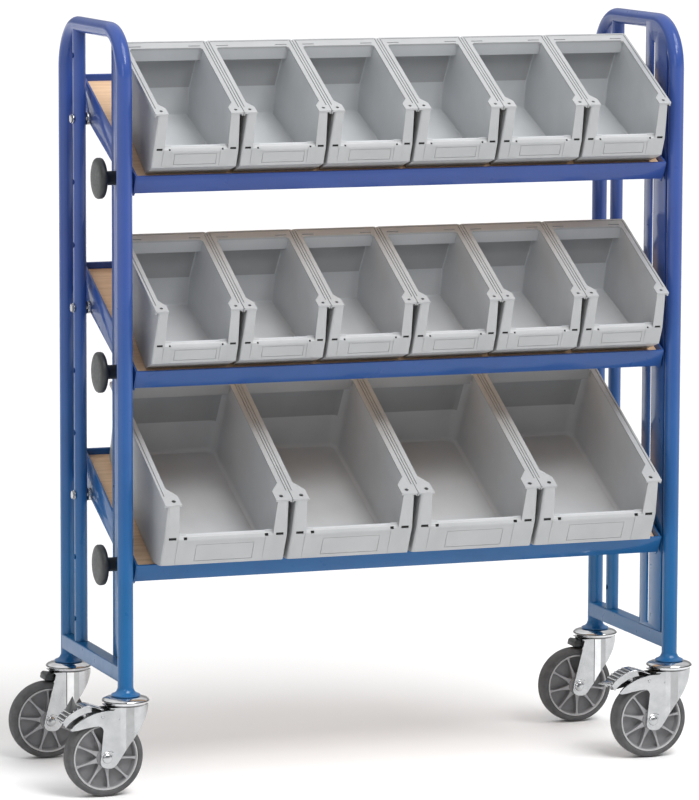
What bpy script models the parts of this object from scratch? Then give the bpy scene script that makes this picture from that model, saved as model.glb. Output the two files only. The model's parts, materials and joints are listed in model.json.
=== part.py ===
# Mobile bin cart: two bent tube side frames on swivel casters carry three tilted shelves of open-front bins.
# Metres, +Z up, +X to the right seen from the front, +Y to the rear. Run with Blender 4.5.

import math

import bmesh
import bpy
from mathutils import Matrix, Vector

# Fits shared by all pieces
seat_gap = 0.0003
cut_overrun = 0.002
weld_distance = 0.00001
weld_overlap = 0.001

# Side frames
frame_spacing = 0.953
post_spacing = 0.319
post_diameter = 0.0256
top_axis_height = 1.2262
top_bend_radius = 0.075
foot_flare_diameter = 0.047
foot_flare_height = 0.0125
foot_rim_height = 0.002
flare_waist_share = 0.25
flare_waist_rise_share = 0.33
stem_bore_depth = 0.038
strut_size = 0.025
strut_rise = 0.0218
guide_diameter = 0.0215
guide_setback = 0.245
guide_hole_diameter = 0.0092
guide_hole_foot_rise = 0.08468
guide_hole_top_drop = 0.05076
guide_hole_count = 10
plate_thickness = 0.0035
plate_front = 0.010
plate_rear = 0.098
slot_setback = 0.0645
slot_width = 0.0095
slot_bottom_margin = 0.006
slot_top_drop = 0.0312

# Shelves, in the tilted frame of each shelf whose origin is its pivot
shelf_length = 0.326
shelf_side_gap = 0.0052
shelf_sheet = 0.003
shelf_front_reach = 0.2573
shelf_rim_rise = 0.0439
side_front_depth = 0.039
side_rear_depth = 0.056
side_corner_radius = 0.008
rail_depth = 0.031
rail_flange = 0.025
lug_depth = 0.058
lug_margin = 0.010
board_depth = 0.0108
board_thickness = 0.0168
board_side_gap = 0.0008
board_edge_radius = 0.001
shelf_names = ("top", "middle", "bottom")
shelf_hole_count = {"top": 9, "middle": 6, "bottom": 3}
shelf_tilt_deg = {"top": 26.4, "middle": 27.0, "bottom": 27.8}

# Pivot bolts and clamps
bolt_diameter = 0.008
bolt_clearance = 0.0006
bolt_head_diameter = 0.013
bolt_head_height = 0.0045
nut_diameter = 0.015
nut_height = 0.0065
spacer_diameter = 0.021
clamp_seat_rise = 0.0066
clamp_head_diameter = 0.0122
clamp_head_height = 0.005
clamp_washer_diameter = 0.020
clamp_slot_clearance = 0.0005
clamp_slot_sag = 0.0023
clamp_thread_reach = 0.024
knob_stem_diameter = 0.023
knob_diameter = 0.066
knob_stem_length = 0.027
knob_thickness = 0.0085
knob_dome = 0.0025
knob_edge_radius = 0.003
knob_dome_reach_share = 0.65

# Bins, in their own frame: across, back from the front, and up from the shelf board
bin_names = ("small", "large")
bin_kind = {"top": "small", "middle": "small", "bottom": "large"}
bin_count = {"top": 6, "middle": 6, "bottom": 4}
bin_pitch = {"small": 0.1478, "large": 0.2150}
bin_gap = 0.0005
bin_length = {"small": 0.2322, "large": 0.3540}
bin_height = {"small": 0.128, "large": 0.146}
bin_front_reach = {"small": 0.0078, "large": 0.0305}
bin_row_shift = {"small": 0.002, "large": -0.0043}
bin_foot_setback = {"small": 0.030, "large": 0.058}
bin_chin_height = {"small": 0.0315, "large": 0.033}
bin_lip_height = {"small": 0.062, "large": 0.080}
bin_stile_setback = {"small": 0.011, "large": 0.015}
bin_stile_drop = {"small": 0.004, "large": 0.004}
bin_wall = 0.0024
bin_side_inset = 0.005
bin_rear_inset = 0.0075
bin_floor_draft = {"small": 0.010, "large": 0.009}
bin_rear_draft = {"small": 0.008, "large": 0.009}
bin_lip_depth = 0.009
bin_stile_width = {"small": 0.0145, "large": 0.0205}
bin_rim_width = 0.0115
bin_rim_thickness = 0.0045
bin_rim_lip_width = 0.003
bin_pad_length = {"small": 0.016, "large": 0.024}
bin_label_width = {"small": 0.070, "large": 0.105}
bin_label_height = {"small": 0.021, "large": 0.040}
bin_label_rise = {"small": 0.036, "large": 0.036}
bin_label_depth = 0.0008
bin_catch_width = 0.010
bin_catch_height = 0.003
bin_catch_depth = 0.003
bin_corner_radius = {"small": 0.006, "large": 0.010}

# Casters, each trailing towards -X
wheel_diameter = 0.1285
wheel_width = 0.032
tyre_depth = 0.0095
tyre_crown = 0.003
web_thickness = 0.006
web_rim_depth = 0.004
hub_diameter = 0.030
hub_width = 0.037
spoke_count = 9
spoke_thickness = 0.0022
spoke_depth = 0.010
axle_diameter = 0.008
axle_clearance = 0.0004
axle_head_diameter = 0.0165
axle_head_height = 0.005
caster_trail = 0.038
caster_lift = 0.0322
head_diameter = 0.077
head_thickness = 0.0145
head_waist_diameter = 0.066
stem_diameter = 0.0192
kingpin_diameter = 0.012
kingpin_head_diameter = 0.020
kingpin_head_height = 0.0032
fork_sheet = 0.003
fork_inner_width = 0.0385
fork_wheel_clearance = 0.0035
fork_crown_front = 0.0385
fork_crown_rear = 0.033
fork_throat_low_share = 0.5
fork_throat_mid_share = 0.25
pedal_thickness = 0.003
pedal_side_gap = 0.0012
pedal_pin_diameter = 0.006
pedal_rib_height = 0.0015
pedal_rib_count = 3
pedal_tab_width_share = 0.25

# Outline of a fork cheek, as shares of the wheel radius back (-) or ahead (+) of the hub and above it
cheek_lower_shares = (
    (-0.16, -0.12), (-0.13, -0.21), (-0.04, -0.26), (0.10, -0.27), (0.22, -0.22), (0.88, 0.65), (1.12, 1.07),
)
cheek_rear_shares = ((0.04, 1.23), (-0.24, -0.06))
wing_shares = (
    (0.28, 1.25), (-0.16, 1.21), (-0.61, 1.07), (-0.95, 0.81), (-0.89, 0.74), (-0.24, 0.84), (-0.09, 0.72),
)
pedal_top_shares = ((-0.36, 1.38), (-0.60, 1.33), (-0.98, 1.14), (-1.14, 0.98))
pedal_pin_share = (-0.42, 1.05)
pedal_tab_shares = ((-0.64, 1.27), (-0.88, 1.15), (-0.80, 1.62))

# Round shapes
post_resolution = 6
bend_steps = 7
wheel_steps = 24
knob_steps = 18
turned_steps = 18
bolt_steps = 10
rib_steps = 6
corner_steps = 2
smooth_angle_deg = 35

# Colours as red, green and blue shares
blue_colour_share = (0.035, 0.10, 0.34)
wood_colour_share = (0.66, 0.46, 0.28)
bin_colour_share = (0.60, 0.61, 0.62)
zinc_colour_share = (0.62, 0.63, 0.64)
black_colour_share = (0.03, 0.035, 0.035)
tyre_colour_share = (0.09, 0.09, 0.09)

# Worked out from the sizes above
post_radius = post_diameter / 2
frame_half = frame_spacing / 2
foot_height = wheel_diameter + caster_lift
strut_height = foot_height + strut_rise
strut_top = strut_height + strut_size
slot_top_height = top_axis_height - slot_top_drop
guide_hole_height = foot_height + guide_hole_foot_rise
guide_hole_span = top_axis_height - guide_hole_top_drop - guide_hole_height
guide_hole_pitch = guide_hole_span / (guide_hole_count - 1)
wheel_radius = wheel_diameter / 2
shelf_outer_half = frame_half - post_radius - shelf_side_gap
shelf_inner_half = shelf_outer_half - shelf_sheet
shelf_front = -shelf_front_reach
shelf_rear = shelf_front + shelf_length
clamp_offset = slot_setback - guide_setback
head_bottom = foot_height - seat_gap - head_thickness
fork_top = head_bottom - seat_gap
fork_outer_width = fork_inner_width + 2 * fork_sheet

quarter_turn = math.radians(90)
upright = Matrix.Identity(4)
along_x = Matrix.Rotation(quarter_turn, 4, "Y")
along_y = Matrix.Rotation(-quarter_turn, 4, "X")
# Takes an outline drawn in X and Y to the Y-Z plane, its thickness along X
side_plane = Matrix(((0, 0, 1, 0), (1, 0, 0, 0), (0, 1, 0, 0), (0, 0, 0, 1)))
# Takes an outline drawn in X and Y to the X-Z plane, its thickness along Y
front_plane = Matrix(((1, 0, 0, 0), (0, 0, -1, 0), (0, 1, 0, 0), (0, 0, 0, 1)))


# Scene and bookkeeping
def clear_scene():
    for item in list(bpy.data.objects):
        bpy.data.objects.remove(item, do_unlink=True)


def new_collection(name):
    group = bpy.data.collections.new(name)
    bpy.context.scene.collection.children.link(group)
    return group


def new_material(name, colour_share, roughness_share, metallic_share):
    material = bpy.data.materials.new(name)
    material.use_nodes = True
    shader = material.node_tree.nodes["Principled BSDF"]
    shader.inputs["Base Color"].default_value = (*colour_share, 1)
    shader.inputs["Roughness"].default_value = roughness_share
    shader.inputs["Metallic"].default_value = metallic_share
    return material


def new_object(name, mesh, group):
    item = bpy.data.objects.new(name, mesh)
    group.objects.link(item)
    return item


def mesh_from(bm, name):
    mesh = bpy.data.meshes.new(name)
    bm.to_mesh(mesh)
    bm.free()
    return mesh


def evaluated_mesh(item):
    bpy.context.view_layer.update()
    graph = bpy.context.evaluated_depsgraph_get()
    return bpy.data.meshes.new_from_object(item.evaluated_get(graph))


def welded(mesh, place):
    bm = bmesh.new()
    bm.from_mesh(mesh)
    bmesh.ops.remove_doubles(bm, verts=bm.verts, dist=weld_distance)
    bmesh.ops.transform(bm, matrix=place, verts=bm.verts)
    bmesh.ops.recalc_face_normals(bm, faces=bm.faces)
    bm.to_mesh(mesh)
    bm.free()
    return mesh


# Basic shapes, each made in the group of cutters until it is finished
def block(name, low, high):
    bm = bmesh.new()
    bmesh.ops.create_cube(bm, size=1)
    sides = [b - a for a, b in zip(low, high)]
    middle = [(a + b) / 2 for a, b in zip(low, high)]
    bmesh.ops.scale(bm, vec=sides, verts=bm.verts)
    bmesh.ops.translate(bm, vec=middle, verts=bm.verts)
    return new_object(name, mesh_from(bm, name), cutters)


def rod(name, start, end, radius, steps):
    line = Vector(end) - Vector(start)
    bm = bmesh.new()
    bmesh.ops.create_cone(
        bm, cap_ends=True, segments=steps, radius1=radius, radius2=radius, depth=line.length
    )
    turn = line.to_track_quat("Z", "Y").to_matrix().to_4x4()
    place = Matrix.Translation((Vector(start) + Vector(end)) / 2) @ turn
    bmesh.ops.transform(bm, matrix=place, verts=bm.verts)
    return new_object(name, mesh_from(bm, name), cutters)


def turned(name, profile, steps, place):
    bm = bmesh.new()
    ring = [bm.verts.new((radius, 0, height)) for radius, height in profile]
    for upper, lower in zip(ring, ring[1:]):
        bm.edges.new((upper, lower))
    item = new_object(name, mesh_from(bm, name), cutters)
    screw = item.modifiers.new("turn", "SCREW")
    screw.steps = steps
    screw.render_steps = steps
    screw.use_merge_vertices = True
    screw.merge_threshold = weld_distance
    mesh = welded(evaluated_mesh(item), place)
    bpy.data.objects.remove(item)
    return new_object(name, mesh, cutters)


def outline(name, points, low, high, plane):
    curve = bpy.data.curves.new(name, "CURVE")
    curve.dimensions = "2D"
    curve.fill_mode = "BOTH"
    curve.extrude = (high - low) / 2
    spline = curve.splines.new("POLY")
    spline.points.add(len(points) - 1)
    for point, (x, y) in zip(spline.points, points):
        point.co = (x, y, 0, 1)
    spline.use_cyclic_u = True
    item = new_object(name, curve, cutters)
    place = plane @ Matrix.Translation((0, 0, (low + high) / 2))
    mesh = welded(evaluated_mesh(item), place)
    bpy.data.objects.remove(item)
    return new_object(name, mesh, cutters)


def pipe(name, points, radius):
    curve = bpy.data.curves.new(name, "CURVE")
    curve.dimensions = "3D"
    curve.bevel_depth = radius
    curve.bevel_resolution = post_resolution
    curve.use_fill_caps = True
    spline = curve.splines.new("POLY")
    spline.points.add(len(points) - 1)
    for point, place in zip(spline.points, points):
        point.co = (*place, 1)
    item = new_object(name, curve, cutters)
    mesh = welded(evaluated_mesh(item), upright)
    bpy.data.objects.remove(item)
    return new_object(name, mesh, cutters)


def arc(centre, radius, start_deg, end_deg, steps):
    span = math.radians(end_deg - start_deg)
    first = math.radians(start_deg)
    turns = [first + span * i / steps for i in range(steps + 1)]
    return [(centre[0] + radius * math.cos(turn), centre[1] + radius * math.sin(turn)) for turn in turns]


def slot_outline(start, end, width):
    along = Vector(end) - Vector(start)
    angle = math.degrees(math.atan2(along.y, along.x))
    first = arc(end, width / 2, angle - 90, angle + 90, corner_steps + corner_steps)
    return first + arc(start, width / 2, angle + 90, angle + 270, corner_steps + corner_steps)


# Boolean modifiers, whose tools ride with the piece and stay hidden
def boolean(base, tool, operation):
    change = base.modifiers.new(tool.name, "BOOLEAN")
    change.operation = operation
    change.object = tool
    change.solver = "EXACT"
    tool.parent = base
    tool.hide_render = True
    tool.hide_viewport = False
    tool.display_type = "WIRE"


def cut(base, *tools):
    for tool in tools:
        boolean(base, tool, "DIFFERENCE")


def join(base, *tools):
    for tool in tools:
        boolean(base, tool, "UNION")


def finished_mesh(item):
    mesh = evaluated_mesh(item)
    tools = list(item.children)
    bpy.data.objects.remove(item)
    for tool in tools:
        bpy.data.objects.remove(tool)
    return mesh


def smooth(mesh):
    mesh.shade_smooth()
    mesh.set_sharp_from_angle(angle=math.radians(smooth_angle_deg))


def keep(item, name, material, parent):
    cutters.objects.unlink(item)
    cart_parts.objects.link(item)
    item.name = name
    item.hide_render = False
    item.display_type = "TEXTURED"
    item.parent = parent
    item.data.materials.clear()
    item.data.materials.append(material)


def place_mesh(name, mesh, material, parent, location=(0, 0, 0)):
    item = new_object(name, mesh, cart_parts)
    item.parent = parent
    item.location = location
    mesh.materials.clear()
    mesh.materials.append(material)
    return item


def empty(name, parent, location, tilt=0):
    item = new_object(name, None, cart_parts)
    item.parent = parent
    item.location = location
    item.rotation_euler.x = tilt
    return item


# Side frames
def arch_path(x):
    bend_height = top_axis_height - top_bend_radius
    front = arc((top_bend_radius, bend_height), top_bend_radius, 180, 90, bend_steps)
    rear = arc((post_spacing - top_bend_radius, bend_height), top_bend_radius, 90, 0, bend_steps)
    foot = foot_height + foot_rim_height
    path = [(0, foot)] + front + rear + [(post_spacing, foot)]
    return [(x, y, z) for y, z in path]


def foot_flare(name, x, y):
    radius = foot_flare_diameter / 2
    waist = post_radius + (radius - post_radius) * flare_waist_share
    rise = foot_flare_height - foot_rim_height
    neck = post_radius - weld_overlap
    profile = [
        (0, foot_height + foot_flare_height),
        (neck, foot_height + foot_flare_height),
        (waist, foot_height + foot_rim_height + rise * flare_waist_rise_share),
        (radius, foot_height + foot_rim_height),
        (radius, foot_height),
        (0, foot_height),
    ]
    return turned(name, profile, turned_steps, Matrix.Translation((x, y, 0)))


def make_side_frame(side_name, side):
    x = side * frame_half
    frame = pipe("side_frame_" + side_name, arch_path(x), post_radius)
    strut = block(
        "strut_" + side_name,
        (x - strut_size / 2, 0, strut_height),
        (x + strut_size / 2, post_spacing, strut_top),
    )
    join(frame, strut)
    for end_name, y in (("front", 0), ("rear", post_spacing)):
        join(frame, foot_flare("flare_%s_%s" % (end_name, side_name), x, y))
        bore = rod(
            "stem_bore_%s_%s" % (end_name, side_name),
            (x, y, foot_height - cut_overrun),
            (x, y, foot_height + stem_bore_depth),
            stem_diameter / 2 + seat_gap,
            turned_steps,
        )
        cut(frame, bore)
    smooth(frame.data)
    keep(frame, frame.name, blue, cart)


def arch_clearance(name, x):
    return pipe(name, arch_path(x), post_radius + seat_gap)


def guide_hole(index):
    return guide_hole_height + index * guide_hole_pitch


def make_guide_tube(side_name, side):
    x = side * frame_half
    radius = guide_diameter / 2
    tube = rod(
        "guide_tube_" + side_name,
        (x, guide_setback, strut_top + seat_gap),
        (x, guide_setback, top_axis_height),
        radius,
        turned_steps,
    )
    cut(tube, arch_clearance("guide_saddle_" + side_name, x))
    for index in range(guide_hole_count):
        hole = rod(
            "guide_hole_%s_%d" % (side_name, index),
            (x - radius - cut_overrun, guide_setback, guide_hole(index)),
            (x + radius + cut_overrun, guide_setback, guide_hole(index)),
            guide_hole_diameter / 2,
            bolt_steps,
        )
        cut(tube, hole)
    smooth(tube.data)
    keep(tube, tube.name, blue, cart)


def make_slot_plate(side_name, side):
    inner = side * (frame_half - post_radius)
    outer = inner + side * plate_thickness
    bend_height = top_axis_height - top_bend_radius
    reach = top_bend_radius - plate_front
    bend_start_deg = 180 - math.degrees(math.acos(reach / top_bend_radius))
    bend = arc((top_bend_radius, bend_height), top_bend_radius, bend_start_deg, 90, bend_steps)
    points = [(plate_front, strut_top + seat_gap)] + bend
    points += [(plate_rear, top_axis_height), (plate_rear, strut_top + seat_gap)]
    plate = outline("slot_plate_" + side_name, points, min(inner, outer), max(inner, outer), side_plane)
    slot = outline(
        "clamp_slot_" + side_name,
        slot_outline(
            (slot_setback, strut_top + slot_bottom_margin + slot_width / 2),
            (slot_setback, slot_top_height - slot_width / 2),
            slot_width,
        ),
        min(inner, outer) - cut_overrun,
        max(inner, outer) + cut_overrun,
        side_plane,
    )
    cut(plate, arch_clearance("plate_saddle_" + side_name, side * frame_half), slot)
    keep(plate, plate.name, blue, cart)


# Shelves
def pivot_height(shelf_name):
    return guide_hole(shelf_hole_count[shelf_name] - 1)


def clamp_drop(tilt):
    return (clamp_seat_rise + clamp_offset * math.sin(tilt)) / math.cos(tilt)


def clamp_reach(tilt):
    return clamp_offset * math.cos(tilt) + clamp_drop(tilt) * math.sin(tilt)


def side_plate_outline(tilt):
    top = shelf_rim_rise - seat_gap
    front = shelf_front + seat_gap
    rear = shelf_rear - seat_gap
    slope = (side_rear_depth - side_front_depth) / shelf_length
    corner = (front + side_corner_radius, top - side_front_depth + side_corner_radius)
    lug_start = clamp_reach(tilt) - bolt_diameter / 2 - lug_margin
    lug_end = clamp_offset + bolt_diameter / 2 + lug_margin
    lug_bottom = top - lug_depth

    def lower_edge(y):
        return top - side_front_depth - slope * (y - front)

    return (
        [(front, top)]
        + arc(corner, side_corner_radius, 180, 270, corner_steps)
        + [(lug_start, lower_edge(lug_start)), (lug_start + lug_margin, lug_bottom)]
        + [(lug_end - lug_margin, lug_bottom), (lug_end, lower_edge(lug_end))]
        + [(rear, lower_edge(rear)), (rear, top)]
    )


def make_shelf(shelf_name):
    tilt = math.radians(shelf_tilt_deg[shelf_name])
    axis = empty("tilt_axis_" + shelf_name, cart, (0, guide_setback, pivot_height(shelf_name)), tilt)
    tray_half = shelf_inner_half + weld_overlap
    tray_bottom = shelf_rim_rise - rail_depth
    ledge_half = shelf_inner_half - rail_flange
    frame = block(
        "tray_" + shelf_name,
        (-tray_half, shelf_front, tray_bottom),
        (tray_half, shelf_rear, shelf_rim_rise),
    )
    pocket = block(
        "board_pocket_" + shelf_name,
        (-shelf_inner_half, shelf_front + shelf_sheet, tray_bottom + shelf_sheet),
        (shelf_inner_half, shelf_rear - shelf_sheet, shelf_rim_rise + cut_overrun),
    )
    window = block(
        "tray_window_" + shelf_name,
        (-ledge_half, shelf_front + rail_flange, tray_bottom - cut_overrun),
        (ledge_half, shelf_rear - rail_flange, tray_bottom + shelf_sheet + cut_overrun),
    )
    cut(frame, pocket, window)
    for side_name, side in (("left", -1), ("right", 1)):
        faces = sorted((side * (shelf_inner_half + seat_gap), side * shelf_outer_half))
        plate = outline("side_%s_%s" % (side_name, shelf_name), side_plate_outline(tilt), *faces, side_plane)
        pivot_hole = rod(
            "pivot_hole_%s_%s" % (side_name, shelf_name),
            (faces[0] - cut_overrun, 0, 0),
            (faces[1] + cut_overrun, 0, 0),
            bolt_diameter / 2 + bolt_clearance / 2,
            bolt_steps,
        )
        slot_rise = clamp_seat_rise - clamp_slot_sag / 2
        slot = outline(
            "clamp_window_%s_%s" % (side_name, shelf_name),
            slot_outline(
                (clamp_reach(tilt), slot_rise),
                (clamp_offset, slot_rise),
                bolt_diameter + clamp_slot_sag + 2 * clamp_slot_clearance,
            ),
            faces[0] - cut_overrun,
            faces[1] + cut_overrun,
            side_plane,
        )
        join(frame, plate)
        cut(frame, pivot_hole, slot)
    place_mesh("shelf_frame_" + shelf_name, finished_mesh(frame), blue, axis)

    board_top = shelf_rim_rise - board_depth
    board_half = shelf_inner_half - board_side_gap
    board_front = shelf_front + shelf_sheet + board_side_gap
    board_rear = shelf_rear - shelf_sheet - board_side_gap
    board = block(
        "shelf_board_" + shelf_name,
        (-board_half, board_front, board_top - board_thickness),
        (board_half, board_rear, board_top),
    )
    edge = board.modifiers.new("edge", "BEVEL")
    edge.width = board_edge_radius
    edge.segments = 1
    keep(board, board.name, wood, axis)
    return axis


# Pivot bolts, clamp bolts and knobs, drawn along +X from the middle of the cart outwards
def pivot_bolt_mesh():
    shank = bolt_diameter / 2
    outer_face = frame_half + guide_diameter / 2 + seat_gap
    spacer_outer = frame_half - guide_diameter / 2 - seat_gap
    spacer_inner = shelf_outer_half + seat_gap
    nut_face = shelf_inner_half - seat_gap
    profile = [
        (0, outer_face + bolt_head_height),
        (bolt_head_diameter / 2, outer_face + bolt_head_height),
        (bolt_head_diameter / 2, outer_face),
        (shank, outer_face),
        (shank, spacer_outer),
        (spacer_diameter / 2, spacer_outer),
        (spacer_diameter / 2, spacer_inner),
        (shank, spacer_inner),
        (shank, nut_face),
        (nut_diameter / 2, nut_face),
        (nut_diameter / 2, nut_face - nut_height),
        (0, nut_face - nut_height),
    ]
    return turned("pivot_bolt", profile, bolt_steps, along_x).data


def clamp_bolt_mesh():
    shank = bolt_diameter / 2
    plate_outer = frame_half - post_radius + plate_thickness
    washer_outer = frame_half - post_radius - seat_gap
    washer_inner = shelf_outer_half + seat_gap
    head_face = shelf_inner_half - seat_gap
    profile = [
        (0, plate_outer + clamp_thread_reach),
        (shank, plate_outer + clamp_thread_reach),
        (shank, washer_outer),
        (clamp_washer_diameter / 2, washer_outer),
        (clamp_washer_diameter / 2, washer_inner),
        (shank, washer_inner),
        (shank, head_face),
        (clamp_head_diameter / 2, head_face),
        (clamp_head_diameter / 2, head_face - clamp_head_height),
        (0, head_face - clamp_head_height),
    ]
    return turned("clamp_bolt", profile, bolt_steps, along_x).data


def knob_mesh():
    stem = knob_stem_diameter / 2
    face = knob_diameter / 2
    bore = bolt_diameter / 2 + seat_gap
    start = frame_half - post_radius + plate_thickness + seat_gap
    neck = start + knob_stem_length
    back = neck + knob_thickness
    bore_end = start + clamp_thread_reach + seat_gap
    profile = [
        (0, back + knob_dome),
        (face * knob_dome_reach_share, back + knob_dome / 2),
        (face - knob_edge_radius, back),
        (face, back - knob_edge_radius),
        (face, neck + knob_edge_radius),
        (face - knob_edge_radius, neck),
        (stem, neck),
        (stem, start),
        (bore, start),
        (bore, bore_end),
        (0, bore_end),
    ]
    mesh = turned("knob", profile, knob_steps, along_x).data
    smooth(mesh)
    return mesh


def mirrored(mesh):
    other = mesh.copy()
    bm = bmesh.new()
    bm.from_mesh(other)
    bmesh.ops.scale(bm, vec=(-1, 1, 1), verts=bm.verts)
    bmesh.ops.reverse_faces(bm, faces=bm.faces)
    bm.to_mesh(other)
    bm.free()
    return other


def forget(mesh_name):
    for item in list(cutters.objects):
        if item.name.startswith(mesh_name):
            bpy.data.objects.remove(item)


def make_fasteners():
    meshes = {"pivot_bolt": pivot_bolt_mesh(), "clamp_bolt": clamp_bolt_mesh(), "clamp_knob": knob_mesh()}
    for name in ("pivot_bolt", "clamp_bolt", "knob"):
        forget(name)
    finishes = {"pivot_bolt": zinc, "clamp_bolt": zinc, "clamp_knob": black}
    for side_name in ("left", "right"):
        for kind, mesh in meshes.items():
            shared = mirrored(mesh) if side_name == "left" else mesh
            for shelf_name in shelf_names:
                tilt = math.radians(shelf_tilt_deg[shelf_name])
                height = pivot_height(shelf_name)
                place = (0, guide_setback, height)
                if kind != "pivot_bolt":
                    place = (0, slot_setback, height + clamp_drop(tilt))
                name = "%s_%s_%s" % (kind, shelf_name, side_name)
                place_mesh(name, shared, finishes[kind], cart, place)


# Bins
def bin_half_width(kind, back, height, wall):
    share_back = back / bin_length[kind]
    share_down = 1 - height / bin_height[kind]
    inset = bin_side_inset + (bin_rear_inset - bin_side_inset) * share_back
    draft = bin_floor_draft[kind] * share_back * share_down
    return (bin_pitch[kind] - bin_gap) / 2 - inset - draft - wall


def drafted(item, kind, wall):
    for vertex in item.data.vertices:
        x, y, z = vertex.co
        back = min(max(y, 0), bin_length[kind])
        height = min(max(z, 0), bin_height[kind])
        half = bin_half_width(kind, back, height, wall)
        vertex.co.x = half if x > 0 else -half
    return item


def rounded_upright_edges(item, radius, kind):
    edge_list = []
    for edge in item.data.edges:
        a, b = (item.data.vertices[i].co for i in edge.vertices)
        rises = abs(a.z - b.z) > bin_height[kind] / 2
        at_side = abs(a.x) > bin_pitch[kind] / 4
        edge_list.append(rises and at_side)
    item.data.attributes.new("bevel_weight_edge", "FLOAT", "EDGE")
    weights = item.data.attributes["bevel_weight_edge"].data
    for weight, wanted in zip(weights, edge_list):
        weight.value = 1 if wanted else 0
    bevel = item.modifiers.new("corners", "BEVEL")
    bevel.limit_method = "WEIGHT"
    bevel.width = radius
    bevel.segments = corner_steps
    return item


def bin_side_profile(kind, inset):
    length = bin_length[kind]
    top = bin_height[kind] - bin_stile_drop[kind]
    rear_foot = length - bin_rear_inset - bin_rear_draft[kind]
    return [
        (bin_foot_setback[kind], inset),
        (inset, bin_chin_height[kind] + inset / 2),
        (inset, bin_lip_height[kind]),
        (bin_stile_setback[kind] + inset, top),
        (length - bin_rear_inset - inset, top),
        (rear_foot - inset, inset),
    ]


def make_bin_mesh(kind):
    outer_half = (bin_pitch[kind] - bin_gap) / 2
    length = bin_length[kind]
    height = bin_height[kind]
    wall = bin_wall
    shell = outline(kind + "_bin", bin_side_profile(kind, 0), -outer_half, outer_half, side_plane)
    drafted(shell, kind, 0)

    # The hollow, with its floor, its slanted toe and its drafted walls
    rear_foot = length - bin_rear_inset - bin_rear_draft[kind]
    hollow_points = [
        (bin_foot_setback[kind] + wall / 2, wall),
        (wall, bin_chin_height[kind] + wall / 2),
        (wall, bin_lip_height[kind]),
        (bin_stile_setback[kind] + wall, height + cut_overrun),
        (length - bin_rear_inset - wall, height + cut_overrun),
        (rear_foot - wall, wall),
    ]
    hollow = outline(kind + "_hollow", hollow_points, -outer_half, outer_half, side_plane)
    drafted(hollow, kind, wall)

    # The front opening between the stiles, above the lip
    opening_half = outer_half - bin_side_inset - bin_stile_width[kind]
    opening = block(
        kind + "_opening",
        (-opening_half, -cut_overrun, bin_lip_height[kind]),
        (opening_half, bin_foot_setback[kind], height + cut_overrun),
    )

    # The rim round the top, with a pad on each stile and a raised outer lip
    top = height - bin_stile_drop[kind]
    rim_low = top - bin_rim_thickness
    pad_front = bin_stile_setback[kind]
    rim = block(kind + "_rim", (-outer_half, pad_front, rim_low), (outer_half, length, top))
    pad_inner = opening_half
    rim_inner = outer_half - bin_rim_width
    pad_end = pad_front + bin_pad_length[kind]
    rim_hollow_points = [
        (-pad_inner, pad_front - cut_overrun),
        (pad_inner, pad_front - cut_overrun),
        (pad_inner, pad_end),
        (rim_inner, pad_end + bin_pad_length[kind]),
        (rim_inner, length - bin_rim_width),
        (-rim_inner, length - bin_rim_width),
        (-rim_inner, pad_end + bin_pad_length[kind]),
        (-pad_inner, pad_end),
    ]
    rim_hollow = outline(
        kind + "_rim_hollow", rim_hollow_points, rim_low - cut_overrun, height + cut_overrun, upright
    )
    lip_outer = block(
        kind + "_raised_lip",
        (-outer_half, pad_end, top - weld_overlap),
        (outer_half, length, height),
    )
    lip_inner = block(
        kind + "_lip_hollow",
        (-outer_half + bin_rim_lip_width, pad_end - cut_overrun, top),
        (outer_half - bin_rim_lip_width, length - bin_rim_lip_width, height + cut_overrun),
    )

    # The lip along the front wall
    front_lip = block(
        kind + "_front_lip",
        (-opening_half - weld_overlap, wall / 2, bin_lip_height[kind] - bin_rim_thickness),
        (opening_half + weld_overlap, bin_lip_depth, bin_lip_height[kind]),
    )
    label = block(
        kind + "_label_field",
        (-bin_label_width[kind] / 2, -cut_overrun, bin_label_rise[kind]),
        (bin_label_width[kind] / 2, bin_label_depth, bin_label_rise[kind] + bin_label_height[kind]),
    )
    rounded_upright_edges(shell, bin_corner_radius[kind], kind)
    rounded_upright_edges(hollow, bin_corner_radius[kind] - wall, kind)
    cut(shell, hollow)
    join(rim, lip_outer)
    cut(rim, lip_inner, rim_hollow)
    join(shell, rim)
    cut(shell, opening)
    join(shell, front_lip)
    cut(shell, label)
    hole_front = pad_front + bin_catch_depth
    for side in (-1, 1):
        middle = side * (opening_half + bin_stile_width[kind] / 2)
        catch = block(
            "%s_catch_%d" % (kind, side),
            (middle - bin_catch_width / 2, -cut_overrun, bin_lip_height[kind]),
            (middle + bin_catch_width / 2, bin_catch_depth, bin_lip_height[kind] + bin_catch_height),
        )
        pad_hole = block(
            "%s_pad_hole_%d" % (kind, side),
            (middle - bin_catch_height, hole_front, rim_low + bin_rim_thickness / 2),
            (middle + bin_catch_height, hole_front + bin_catch_width / 2, height + cut_overrun),
        )
        cut(shell, catch, pad_hole)
    rim_mesh = evaluated_mesh(rim)
    rim_tools = list(rim.children)
    rim.modifiers.clear()
    rim.data = rim_mesh
    for tool in rim_tools:
        bpy.data.objects.remove(tool)
    return finished_mesh(shell)


def make_bins(axes):
    meshes = {kind: make_bin_mesh(kind) for kind in bin_names}
    for shelf_name in shelf_names:
        kind = bin_kind[shelf_name]
        count = bin_count[shelf_name]
        pitch = bin_pitch[kind]
        for index in range(count):
            place = (
                bin_row_shift[kind] + (index - (count - 1) / 2) * pitch,
                shelf_front - bin_front_reach[kind],
                shelf_rim_rise - board_depth + seat_gap,
            )
            name = "%s_bin_%s_%d" % (kind, shelf_name, index + 1)
            place_mesh(name, meshes[kind], bin_plastic, axes[shelf_name], place)


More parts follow.
